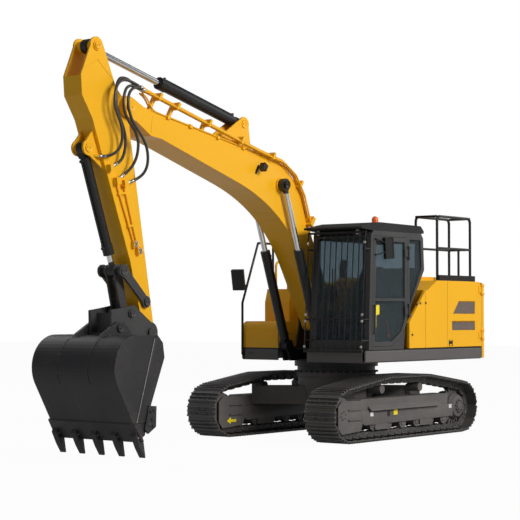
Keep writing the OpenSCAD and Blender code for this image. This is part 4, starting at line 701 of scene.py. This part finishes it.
make_track("left_shoes", TRACK_Y, "track_left")
make_track("right_shoes", -TRACK_Y, "track_right")

# Hoses from the boom's pipes to the arm, on the routes of the part's source
HOSE_ROUTES = (
    ((4.296, 0.146, 4.423), (4.355, 0.147, 4.437), (4.450, 0.158, 4.458), (4.585, 0.180, 4.472),
     (4.715, 0.205, 4.448), (4.805, 0.222, 4.380), (4.850, 0.232, 4.275), (4.855, 0.235, 4.155),
     (4.810, 0.235, 4.040), (4.745, 0.230, 3.930), (4.715, 0.225, 3.815), (4.720, 0.215, 3.710),
     (4.750, 0.198, 3.635), (4.800, 0.170, 3.580), (4.862, 0.128, 3.550), (4.928, 0.077, 3.545)),
    ((4.297, 0.106, 4.423), (4.355, 0.107, 4.437), (4.450, 0.115, 4.475), (4.545, 0.126, 4.502),
     (4.665, 0.142, 4.490), (4.745, 0.165, 4.412), (4.790, 0.185, 4.285), (4.785, 0.195, 4.165),
     (4.750, 0.198, 4.050), (4.685, 0.195, 3.935), (4.630, 0.188, 3.825), (4.615, 0.180, 3.705),
     (4.622, 0.172, 3.610), (4.650, 0.158, 3.530), (4.698, 0.138, 3.477), (4.756, 0.118, 3.437)),
    ((4.321, 0.166, 4.384), (4.380, 0.167, 4.398), (4.470, 0.178, 4.412), (4.560, 0.195, 4.405),
     (4.645, 0.215, 4.355), (4.695, 0.230, 4.255), (4.705, 0.240, 4.145), (4.670, 0.240, 4.045),
     (4.590, 0.240, 3.945), (4.495, 0.230, 3.860), (4.440, 0.225, 3.755), (4.430, 0.215, 3.650),
     (4.450, 0.200, 3.540), (4.495, 0.170, 3.440), (4.560, 0.138, 3.365), (4.628, 0.114, 3.308)),
    ((4.321, 0.206, 4.384), (4.380, 0.207, 4.398), (4.470, 0.215, 4.395), (4.560, 0.232, 4.360),
     (4.630, 0.250, 4.290), (4.655, 0.262, 4.190), (4.640, 0.268, 4.085), (4.590, 0.270, 3.985),
     (4.505, 0.270, 3.895), (4.405, 0.265, 3.800), (4.325, 0.258, 3.690), (4.285, 0.245, 3.560),
     (4.285, 0.222, 3.445), (4.322, 0.187, 3.360), (4.395, 0.150, 3.302), (4.486, 0.122, 3.262)),
)
HOSE_R = 0.018
SLEEVE_R, SLEEVE_LEN = HOSE_R * 1.12, 0.060


def smooth_route(points, steps=5):
    """The curve through the points that the part's source also draws."""
    p = [Vector(q) for q in points]
    line = []
    for i in range(len(p) - 1):
        a, b, c, d = p[max(i - 1, 0)], p[i], p[i + 1], p[min(i + 2, len(p) - 1)]
        for k in range(steps):
            t = k / steps
            square, cube = 2 * a - 5 * b + 4 * c - d, 3 * b - a - 3 * c + d
            line.append(0.5 * (2 * b + (c - a) * t + square * t * t + cube * t ** 3))
    return line + [p[-1]]


def pipe_run(name, points, radius, around=3, swell=(1.0,)):
    """A round tube along a line of points, as a mesh, with a thickness that may repeat along it."""
    line = bpy.data.curves.new(name, "CURVE")
    line.dimensions = "3D"
    line.bevel_depth = radius
    line.bevel_resolution = around
    line.use_fill_caps = True
    spline = line.splines.new("POLY")
    spline.points.add(len(points) - 1)
    for k, (point, place) in enumerate(zip(spline.points, points)):
        point.co = (*place, 1)
        point.radius = swell[k % len(swell)]
    piece = bpy.data.objects.new(name, line)
    bpy.context.scene.collection.objects.link(piece)
    only(piece)
    bpy.ops.object.convert(target="MESH")
    return bpy.context.object


def ferrule(name, line):
    """Crimped sleeve with two grooves and a hexagon nut on the first end of a hose's line."""
    start = line[0] + (line[1] - line[0]).normalized() * 0.004
    way = (line[2] - line[0]).normalized()
    length, radius = SLEEVE_LEN, SLEEVE_R
    sleeve = rod(name, start, start + way * length, radius, 20)
    for share in (0.3, 0.38, 0.62, 0.70):
        cut(sleeve, start + way * length * share, way)
    for share in (0.34, 0.66):
        ring = start + way * length * share
        pick(sleeve, "FACE", lambda c, n: abs((c - ring).dot(way)) < length * 0.03 and abs(n.dot(way)) < 0.5)
        bpy.ops.transform.shrink_fatten(value=-radius * 0.14)
        leave()
    nut = rod("nut", start - way * 0.022, start + way * 0.004, radius * 1.18, 6)
    soften(nut, 0.002, 1)
    return joined(name, [sleeve, nut])


def make_hoses():
    for k, route in enumerate(HOSE_ROUTES, 1):
        line = [at(*q) for q in smooth_route(route)]
        tube = pipe_run(f"tip_hose_{k}", line, HOSE_R)
        done(tube, None, hose_rubber, "hose_rubber", 60)
        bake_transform(tube)
        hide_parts(f"hose_{k}")
        done(ferrule("hose_sleeve", line), "boom", zinc, "chrome_rod")
        done(ferrule("hose_foot", line[::-1]), "arm", zinc, "chrome_rod")


make_hoses()

# Driver's chair: base, sprung bellows and three padded cushions
CHAIR = at(0.400, 0.770, 1.258)
CUSHIONS = (
    ("chair_bottom", (-0.19, -0.235, 0.262), (0.275, 0.235, 0.335), 0.022, -2, (0, 0, 0.26), 0.7),
    ("chair_back", (-0.27, -0.235, 0.345), (-0.185, 0.235, 0.885), 0.020, -6, (-0.2, 0, 0.34), 0.7),
    ("chair_head", (-0.265, -0.125, 0.905), (-0.205, 0.125, 1.085), 0.012, -4, (-0.24, 0, 0.9), 0.6),
)


def make_cushion(name, low, high, crown, tilt, pivot, fill):
    """A crowned pad: sides drawn in between the corners, thickest in the middle."""
    low, high, pivot = CHAIR + Vector(low), CHAIR + Vector(high), CHAIR + Vector(pivot)
    pad = block(name, low, high)
    pick_all(pad)
    bpy.ops.mesh.subdivide(number_cuts=5)
    leave()
    middle = [(a + b) / 2 for a, b in zip(low, high)]
    half = [(b - a) / 2 for a, b in zip(low, high)]
    thin = half.index(min(half))
    wide = [k for k in range(3) if k != thin]
    for vertex in pad.data.vertices:
        away = [(vertex.co[k] - middle[k]) / half[k] for k in range(3)]
        dome = (1 - away[wide[0]] ** 2) * (1 - away[wide[1]] ** 2)
        if away[thin] > 0:
            vertex.co[thin] += crown * dome * away[thin]
        for k, other in ((wide[0], wide[1]), (wide[1], wide[0])):
            vertex.co[k] -= 0.10 * half[k] * away[k] * (1 - away[other] ** 2) * abs(away[k]) ** 3
    w = wide[0]
    inset(pad, lambda c, n: abs(n[thin]) > 0.5 and abs(abs(c[w] - middle[w]) / half[w] - 0.5) < 0.17,
          (0.004, -0.006))
    smooth = pad.modifiers.new("round", "SUBSURF")
    smooth.levels = smooth.render_levels = 2
    apply(pad, smooth)
    pad.data.transform(Matrix.Translation(pivot) @ Matrix.Rotation(math.radians(tilt), 4, "Y")
                       @ Matrix.Translation(-pivot))
    done(pad, "upper", chair_cloth, "chair_cloth", 60)
    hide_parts("operator_chair")


def chair_block(name, low, high, width, segments):
    return soften(block(name, CHAIR + Vector(low), CHAIR + Vector(high)), width, segments)


def make_chair():
    for cushion in CUSHIONS:
        make_cushion(*cushion)
    c = CHAIR
    base = block("chair_base", c + Vector((-0.12, -0.17, 0.0)), c + Vector((0.20, 0.17, 0.25)))
    for k in range(1, 8):
        cut(base, c + Vector((0, 0, 0.05 + 0.022 * k)), (0, 0, 1))
    for k in (2, 4, 6):
        z = c.z + 0.05 + 0.022 * k
        scale_points(base, lambda v: abs(v.z - z) < 0.004, (0.88, 0.88, 1), (c.x + 0.04, c.y, z))
    soften(base, 0.006, 2)
    posts = [chair_block("head_post", (-0.243, y - 0.008, 0.86), (-0.227, y + 0.008, 0.95), 0.003, 1)
             for y in (-0.06, 0.06)]
    shell = chair_block("back_shell", (-0.298, -0.225, 0.30), (-0.272, 0.225, 0.86), 0.012, 3)
    base = joined("chair_base", [base, shell] + posts)
    done(base, *CAB_PLASTIC)
    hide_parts("operator_chair")


make_chair()


# Louvres in the openings of the engine doors
UPPER_GRILLE = ((-1.743, 1.694), (-1.131, 1.694), (-1.290, 1.877), (-1.745, 1.877))
SLAT_STEP = 0.0185
LOWER_GRILLE = ((-1.742, 1.459), (-1.090, 1.459), (-1.099, 1.592), (-1.742, 1.592))


def row_span(outline, z):
    hits = []
    for k in range(len(outline)):
        (x0, z0), (x1, z1) = outline[k], outline[(k + 1) % len(outline)]
        if (z0 - z) * (z1 - z) <= 0 and z0 != z1:
            hits.append(x0 + (x1 - x0) * (z - z0) / (z1 - z0))
    return min(hits), max(hits)


def make_louvres(name, side, body):
    slats = []
    outer, inner = side * 1.2425, side * 1.2338
    near, far = min(inner, outer), max(inner, outer)
    for outline in (UPPER_GRILLE, LOWER_GRILLE):
        z0, z1 = min(p[1] for p in outline), max(p[1] for p in outline)
        for k in range(int((z1 - z0 - 0.008) / SLAT_STEP)):
            z = z0 + 0.004 + k * SLAT_STEP
            xa, xb = row_span(outline, z + 0.002)
            xc, xd = row_span(outline, z + 0.0165)
            slat = block("slat", at(max(xa, xc) + 0.003, near, z), at(min(xb, xd) - 0.003, far, z + 0.0182))
            move_points(slat, lambda v: v.z > z + 0.01 and (v.y - (near + far) / 2) * side > 0,
                        (0, -side * 0.0010, 0))
            slats.append(slat)
    louvres = joined(name, slats)
    soften(louvres, 0.0008, 1)
    done(louvres, body, grille_paint, "black_plastic")


make_louvres("left_louvres", 1, "left_door")
make_louvres("right_louvres", -1, "right_door")


# Bolt rings and covers of the travel drives
def make_drive_bolts():
    places, covers = [], []
    for s in (-1, 1):
        face = s * (TRACK_Y + 0.152)
        places += ring_places(at(-WHEEL_X, face, WHEEL_Z), (0, s, 0), 0.085, 10)
    done(set_out("drive_bolts", bolt_pattern(0.013, 0.012, 0.003), places), *TRACK_PART)
    for s in (-1, 1):
        face = s * (TRACK_Y + 0.152)
        cover = rod("cover", at(-WHEEL_X, face - s * 0.002, WHEEL_Z), at(-WHEEL_X, face + s * 0.010, WHEEL_Z),
                    0.060, 28)
        inset(cover, lambda c, n: n.y * s > 0.9, (0.014, 0.006), (0.018, -0.004))
        covers.append(soften(cover, 0.0015, 1))
    done(joined("drive_covers", covers), *TRACK_PART)


make_drive_bolts()


# Pin ends: a stepped cap with two bolts on each side
def pin_cap(radius):
    cap = rod("pin_cap", (0, 0, -0.003), (0, 0, 0.014), radius, 28)
    inset(cap, lambda c, n: n.z > 0.9, (radius * 0.2, -0.005))
    soften(cap, 0.0018, 1, 40)
    bolts = set_out("cap_bolts", bolt_pattern(radius * 0.2, 0.009), [
        Matrix.Translation((side * radius * 0.42, 0, 0.008)) for side in (-1, 1)])
    return joined("pin_cap", [cap, bolts])


def make_pin_caps():
    for name, centre, half, radius, body, material, slot in (
            ("boom_tip_caps", on_boom(4.889, 0, 0), 0.220, 0.062, *BOOM_PART),
            ("boom_rod_caps", BOOM_ROD_PIN, 0.339, 0.055, "boom", black_paint, "black_paint"),
            ("arm_base_caps", on_boom(2.905, 0, 1.257), 0.101, 0.055, *BOOM_PART),
            ("arm_rod_caps", ARM_ROD_PIN, 0.163, 0.045, "arm", yellow_paint, "yellow_paint"),
            ("bucket_base_caps", on_arm(0.434, 0, 0.664), 0.099, 0.055, "arm", yellow_paint, "yellow_paint"),
            ("rocker_caps", on_arm(2.354, 0, 0.016), 0.193, 0.050, "arm", grey_paint, "grey_paint"),
            ("link_top_caps", BUCKET_ROD_PIN, 0.185, 0.058, "rocker", grey_paint, "grey_paint"),
            ("link_foot_caps", at(4.430, BOOM_Y, 1.699), 0.205, 0.045, "bucket", grey_paint, "grey_paint"),
            ("arm_tip_caps", on_bucket(0, 0, 0), 0.203, 0.058, "bucket", grey_paint, "grey_paint"),
            ("bucket_pin_caps", on_bucket(0.600, 0, 0.060), 0.243, 0.048, *BUCKET_PART)):
        places = [facing((0, side, 0), centre + Vector((0, side * half, 0))) for side in (-1, 1)]
        done(set_out(name, pin_cap(radius), places), body, material, slot)


make_pin_caps()


# Weld beads and the strips along the bucket's mouth
def bead(name, points, radius):
    """A weld bead: a tube that swells and narrows every few millimetres."""
    line = []
    for a, b in zip(points, points[1:]):
        steps = max(2, int((b - a).length / 0.012))
        line += [a.lerp(b, k / steps) for k in range(steps)]
    return pipe_run(name, line + [points[-1]], radius, 1, (1.0, 0.78))


def plate(name, outline, y0, y1):
    """A flat plate of an outline in X and Z, between two Y values."""
    deselect()
    bpy.ops.mesh.primitive_circle_add(vertices=len(outline), radius=0.1, fill_type="NGON")
    piece = bpy.context.object
    piece.name = name
    for vertex, (x, z) in zip(piece.data.vertices, outline):
        vertex.co = at(x, y0, z)
    pick(piece, "FACE", lambda c, n: True)
    extrude((0, y1 - y0, 0))
    leave()
    return outward(piece)


ARM_SEAM = ((5.235, 4.540), (4.987, 4.684), (4.720, 4.470))
BOOM_SEAM = ((4.084, 4.100), (4.111, 3.892))
MOUTH_STRIP = ((4.512, 1.436), (4.421, 1.350), (4.392, 1.178), (4.645, 0.592), (4.690, 0.430), (4.870, 0.430),
               (4.560, 1.400))


def make_welds():
    for name, seam, half, body in (("arm_seams", ARM_SEAM, 0.145, "arm"),
                                   ("boom_seams", BOOM_SEAM, 0.210, "boom")):
        beads = [bead(name, [at(x, BOOM_Y + side * half, z) for x, z in seam], 0.005) for side in (-1, 1)]
        done(joined(name, beads), body, yellow_paint, "yellow_paint", 60)
    strips, beads = [], []
    for side in (-1, 1):
        face = BOOM_Y + side * 0.670
        strip = plate("mouth_strip", MOUTH_STRIP, face - side * 0.002, face + side * 0.012)
        strips.append(soften(strip, 0.003, 2))
        beads.append(bead("mouth_bead", [at(x, face + side * 0.004, z) for x, z in MOUTH_STRIP[-2:]], 0.008))
    done(joined("mouth_strips", strips), *BUCKET_PART)
    done(joined("mouth_beads", beads), "bucket", worn_weld, "bucket_steel", 60)


make_welds()


# Bolts of the side cutters and pins of the teeth
def make_bucket_fasteners():
    places = []
    for side in (-1, 1):
        face = BOOM_Y + side * BUCKET_HALF
        for x, z in ((4.600, 0.570), (4.655, 0.560), (4.630, 0.470), (4.672, 0.400), (4.618, 0.392)):
            places.append(facing((0, side, 0), at(x, face, z), 0.4))
    done(set_out("cutter_bolts", bolt_pattern(0.018, 0.016, 0.004), places), *BUCKET_PART)
    pin = rod("tooth_pin", (0, -0.048, 0), (0, 0.048, 0), 0.014, 16)
    pick(pin, "FACE", lambda c, n: abs(n.y) > 0.9)
    bpy.ops.mesh.inset(thickness=0.004, depth=-0.003, use_individual=True)
    leave()
    pins = [Matrix.Translation(at(4.851, BOOM_Y - 0.640 + 0.320 * k, 0.262)) for k in range(5)]
    done(set_out("tooth_pins", pin, pins), "bucket", worn_weld, "bucket_steel")


make_bucket_fasteners()


# Small plates and bolts on the undercarriage
TRACK_PLATES = (("front_reflector", 0.801, 0.354, 0.075, 0.055, white_paint),
                ("rear_reflector", -1.214, 0.374, 0.075, 0.055, white_paint),
                ("bare_plate", 0.220, 0.366, 0.095, 0.090, bright_plate),
                ("hole_cover", 0.392, 0.361, 0.060, 0.105, black_paint))


def make_track_plates():
    for name, x, z, wide, tall, material in TRACK_PLATES:
        pieces = []
        for side in (-1, 1):
            tile = block(name, at(x - wide / 2, side * 1.1365, z - tall / 2),
                         at(x + wide / 2, side * 1.1405, z + tall / 2))
            soften(tile, 0.001, 2)
            inset(tile, lambda c, n: n.y * side > 0.9, (0.004, -0.0006))
            pieces.append(tile)
        done(joined(name, pieces), "undercarriage", material, "grey_paint")
    places = ring_places(at(0, 0, 0.880), (0, 0, 1), 0.578, 36)
    done(set_out("ring_bolts", bolt_pattern(0.015, 0.018, 0.004), places), *TRACK_PART)
    places = [m for s in (-1, 1) for m in ring_places(at(WHEEL_X, s * 1.1375, WHEEL_Z), (0, s, 0), 0.052, 6)]
    done(set_out("idler_bolts", bolt_pattern(0.009, 0.009), places), *TRACK_PART)


make_track_plates()

# Side covers of the track frames, guards beside the idlers and flanges of the lower rollers
BEAM_COVER = ((-1.290, 0.232), (0.965, 0.212), (1.030, 0.255), (1.030, 0.408), (-1.290, 0.408))
INNER_COVER_END = -0.930
IDLER_GUARD = ((1.575, 0.482), (1.479, 0.556), (1.091, 0.543), (0.990, 0.440), (0.990, 0.270), (1.075, 0.140),
               (1.500, 0.118), (1.578, 0.205))


def make_track_covers():
    covers, guards = [], []
    for track in (-TRACK_Y, TRACK_Y):
        for side in (-1, 1):
            y0, y1, y2 = (track + side * away for away in (0.124, 0.142, 0.160))
            outer = side * track > 0
            outline = BEAM_COVER if outer else [(max(x, INNER_COVER_END), z) for x, z in BEAM_COVER]
            covers.append(soften(plate("beam_cover", outline, y0, y1), 0.004, 2))
            guard = plate("idler_guard", IDLER_GUARD, y0, y1)
            inset(guard, lambda c, n: n.y * side > 0.9, (0.022, -0.005))
            guards.append(soften(guard, 0.003, 2))
            for z in (0.300, 0.432):
                rib = block("guard_rib", at(1.060, min(y1, y2), z - 0.008), at(1.350, max(y1, y2), z + 0.008))
                guards.append(soften(rib, 0.004, 2))
    flange = rod("roller_flange", (0, 0.1045, 0), (0, 0.1165, 0), 0.088, 36)
    inset(flange, lambda c, n: n.y > 0.9, (0.030, -0.004), (0.018, 0.006))
    soften(flange, 0.002, 1, 40)
    places = [Matrix.Translation(at(0.360 * (k - 3), track, 0.217)) @ Matrix.Rotation(turn, 4, "Z")
              for track in (-TRACK_Y, TRACK_Y) for k in range(7) for turn in (0, math.pi)]
    done(joined("beam_covers", covers), *TRACK_PART)
    done(joined("idler_guards", guards), *TRACK_PART)
    done(set_out("roller_flanges", flange, places), *TRACK_PART)


make_track_covers()

# Arrows on the inner idler guards that show which way the tracks run
ARROW = ((1.199, 0.195), (1.320, 0.195), (1.320, 0.165), (1.405, 0.215), (1.320, 0.265), (1.320, 0.235),
         (1.199, 0.235))


def make_track_arrows():
    arrows = [soften(plate("track_arrow", ARROW, side * 0.8600, side * 0.8535), 0.001, 2) for side in (-1, 1)]
    done(joined("track_arrows", arrows), "undercarriage", bright_plate, "grey_paint")


make_track_arrows()


# Guard bolts, cab fittings and small pieces on the house
def guard_x(z):
    return 1.190 - 0.110 * (z - 1.177) / 1.613


def make_guard_bolts():
    places = [facing((1, 0, 0.07), at(guard_x(z) + 0.006, y, z))
              for y in (0.311, 1.229) for z in (1.255, 1.595, 1.680, 2.640)]
    done(set_out("guard_bolts", bolt_pattern(0.014, 0.014, 0.004), places), "upper", zinc, "chrome_rod")


NOTICE = ((0.872, 1.812), (0.738, 1.810), (0.738, 1.688), (0.812, 1.672), (0.812, 1.512), (0.872, 1.512))
LEVER = ((0.452, 1.400), (0.462, 1.450), (0.485, 1.540), (0.525, 1.620))
STALK = ((0.700, 1.722), (0.705, 1.780), (0.745, 1.850), (0.752, 1.90))
WIPER = ((1.007, 0.770, 1.372), (1.012, 0.760, 1.500), (1.010, 0.650, 2.050))


def make_cab_fittings():
    sheet = plate("bare_notice", NOTICE, 1.2186, 1.2218)
    done(soften(sheet, 0.001, 1), "cab_door", bright_plate, "yellow_paint")
    lever = pipe_run("lock_lever", [at(x, 1.178, z) for x, z in LEVER], 0.011, 2, (1.0, 0.9, 0.85, 1.15))
    foot = soften(block("lever_foot", at(0.425, 1.166, 1.372), at(0.480, 1.190, 1.408)), 0.005, 2)
    done(joined("lock_lever", [lever, foot]), "upper", orange, "amber", 60)
    screen = block("monitor", at(0.735, 0.345, 1.895), at(0.770, 0.545, 2.045))
    inset(screen, lambda c, n: n.x < -0.9, (0.016, -0.006))
    soften(screen, 0.004, 2)
    stalk = pipe_run("monitor_stalk", [at(x, 0.445, z) for x, z in STALK], 0.013, 2)
    done(joined("monitor", [screen, stalk]), *CAB_PLASTIC)
    arm = pipe_run("wiper", [at(*q) for q in WIPER], 0.007, 2)
    blade = soften(block("wiper_blade", at(1.001, 0.640, 1.700), at(1.010, 0.656, 2.300)), 0.003, 1)
    done(joined("wiper", [arm, blade]), *CAB_PLASTIC)


def make_lamp_lenses():
    lenses = []
    for y in (0.450, 1.090):
        lens = rod("lens", at(1.058, y, 2.779), at(1.064, y, 2.779), 0.034, 28)
        inset(lens, lambda c, n: n.x > 0.9, (0.005, -0.002), (0.010, 0.003), (0.008, 0.001))
        lenses.append(lens)
    done(joined("cab_lamp_lenses", lenses), "upper", white_paint, "glass", 50)


def make_house_fittings():
    spots = ((-0.160, 1.823), (-0.248, 1.838), (-0.389, 1.843), (-0.040, 1.405))
    places = [facing((0, 1, 0), at(x, HOUSE_Y, z)) for x, z in spots]
    bolts = set_out("panel_bolts", bolt_pattern(0.013, 0.010, 0.004), places)
    done(bolts, "upper", black_paint, "black_paint")
    for side, body in ((1, "left_door"), (-1, "right_door")):
        latch = block("door_latch", at(-1.110, side * 1.2445, 1.236), at(-1.010, side * 1.2505, 1.324))
        inset(latch, lambda c, n: n.y * side > 0.9, (0.010, -0.004))
        soften(latch, 0.002, 2)
        paddle = block("paddle", at(-1.098, side * 1.2445, 1.264), at(-1.022, side * 1.2530, 1.310))
        soften(paddle, 0.004, 3)
        done(joined(f"{body}_latch", [latch, paddle]), body, dark_plastic, "black_plastic")
    board = block("toe_board", at(-1.870, 1.121, 2.168), at(-0.930, 1.127, 2.240))
    round_edges(board, lambda a, b: min(a.z, b.z) > 2.2 and abs(a.x - b.x) > 0.5 and a.y > 1.125, 0.004, 2)
    done(soften(board, 0.0015, 1), "upper", black_paint, "black_paint")
    eyes = []
    for y in (-0.620, 0.620):
        eye = block("lifting_eye", at(-2.190, y - 0.022, 2.140), at(-2.060, y + 0.022, 2.243))
        round_edges(eye, lambda a, b: min(a.z, b.z) > 2.2 and abs(a.y - b.y) > 0.03, 0.040, 6)
        hole = rod("eye_hole", at(-2.125, y - 0.05, 2.198), at(-2.125, y + 0.05, 2.198), 0.022, 24)
        trim = eye.modifiers.new("hole", "BOOLEAN")
        trim.object = hole
        trim.operation = "DIFFERENCE"
        apply(eye, trim)
        drop(hole)
        eyes.append(soften(eye, 0.003, 2, 40))
    done(joined("lifting_eyes", eyes), "upper", yellow_paint, "yellow_paint")


def make_arm_valves():
    """Bright couplings on the blocks at the lower end of the arm's pipes."""
    spots = ((1.622, 0.115), (1.658, 0.115), (1.712, 0.050), (1.748, 0.050))
    places = [facing((0, 1, 0), on_arm(u, 0.191, v)) for u, v in spots]
    nut = bolt_pattern(0.017, 0.020, 0.006)
    nose = rod("coupling_nose", (0, 0, 0.018), (0, 0, 0.040), 0.010, 18)
    inset(nose, lambda c, n: n.z > 0.9, (0.003, -0.004))
    done(set_out("arm_couplings", joined("coupling", [nut, nose]), places), "arm", zinc, "chrome_rod")


# Two pipes that lie on the top left edge of the boom, in saddles
EDGE_PIPES = ((4.815, 0.266), (4.720, 0.270), (4.640, 0.246), (4.560, 0.222), (4.460, 0.240), (4.080, 0.396),
              (3.370, 0.687), (2.650, 0.982), (2.371, 1.090), (2.161, 1.162), (1.995, 1.194), (1.830, 1.202),
              (1.660, 1.163), (1.517, 1.098), (1.300, 0.960), (1.165, 0.872))
SADDLES = ((4.280, 0.314), (3.880, 0.478), (3.370, 0.687), (2.880, 0.888))
SADDLE_TILT = 22 - BOOM_ANGLE


def make_edge_pipes():
    pipes = []
    for y in (0.178, 0.216):
        line = smooth_route([on_boom(u, y, v) for u, v in EDGE_PIPES], 4)
        pipes.append(pipe_run("edge_pipe", line, 0.011, 2))
    done(joined("edge_pipes", pipes), *BOOM_PART, 60)
    turn = Matrix.Rotation(math.radians(SADDLE_TILT), 4, "Y")
    saddle = block("saddle", (-0.024, -0.042, -0.030), (0.024, 0.042, 0.017))
    round_edges(saddle, lambda a, b: a.z > 0.01 and b.z > 0.01, 0.009, 3)
    nut = set_out("saddle_bolt", bolt_pattern(0.009, 0.008), [Matrix.Translation((0, 0, 0.017))])
    places = [Matrix.Translation(on_boom(u, 0.197, v)) @ turn for u, v in SADDLES]
    done(set_out("pipe_saddles", joined("saddle", [saddle, nut]), places), *BOOM_PART)


make_edge_pipes()


# Band on the outside of the bucket's lip and the two seams of its back
BUCKET_R = 0.385
BACK_CENTRE, LIP = Vector((0.773, -0.406)), Vector((0.728, -1.235))
LIP_BAND = ((0.026, -0.004), (0.026, 0.010), (-0.225, 0.014), (-0.240, -0.004))


def on_back(degrees, radius):
    a = math.radians(degrees)
    return BACK_CENTRE + radius * Vector((math.cos(a), math.sin(a)))


def make_bucket_band():
    way = (LIP - on_back(-29, BUCKET_R)).normalized()
    out = Vector((-way.y, way.x))
    tip = Vector(ARM_TIP)
    outline = [tuple(tip + LIP + way * a + out * b) for a, b in LIP_BAND]
    band = plate("lip_band", outline, BOOM_Y - BUCKET_HALF, BOOM_Y + BUCKET_HALF)
    done(soften(band, 0.004, 2), *BUCKET_PART)
    seams = []
    for y in (-0.250, 0.240):
        line = [tip + on_back(62 - 4 * k, BUCKET_R + 0.001) for k in range(24)]
        seams.append(bead("back_seam", [at(q.x, BOOM_Y + y, q.y) for q in line], 0.004))
    done(joined("back_seams", seams), *BUCKET_PART, 60)


make_bucket_band()


# Four bolts on the front beam of the right deck
RIGHT_DECK_X = 0.578


def make_beam_bolts():
    places = [facing((1, 0, 0), at(RIGHT_DECK_X, y, z)) for y in (-1.123, -1.071) for z in (1.057, 1.135)]
    done(set_out("beam_bolts", bolt_pattern(0.011, 0.009, 0.003), places), "upper", skirt_paint, "grey_paint")


make_beam_bolts()
make_guard_bolts()
make_cab_fittings()
make_lamp_lenses()
make_house_fittings()
make_arm_valves()
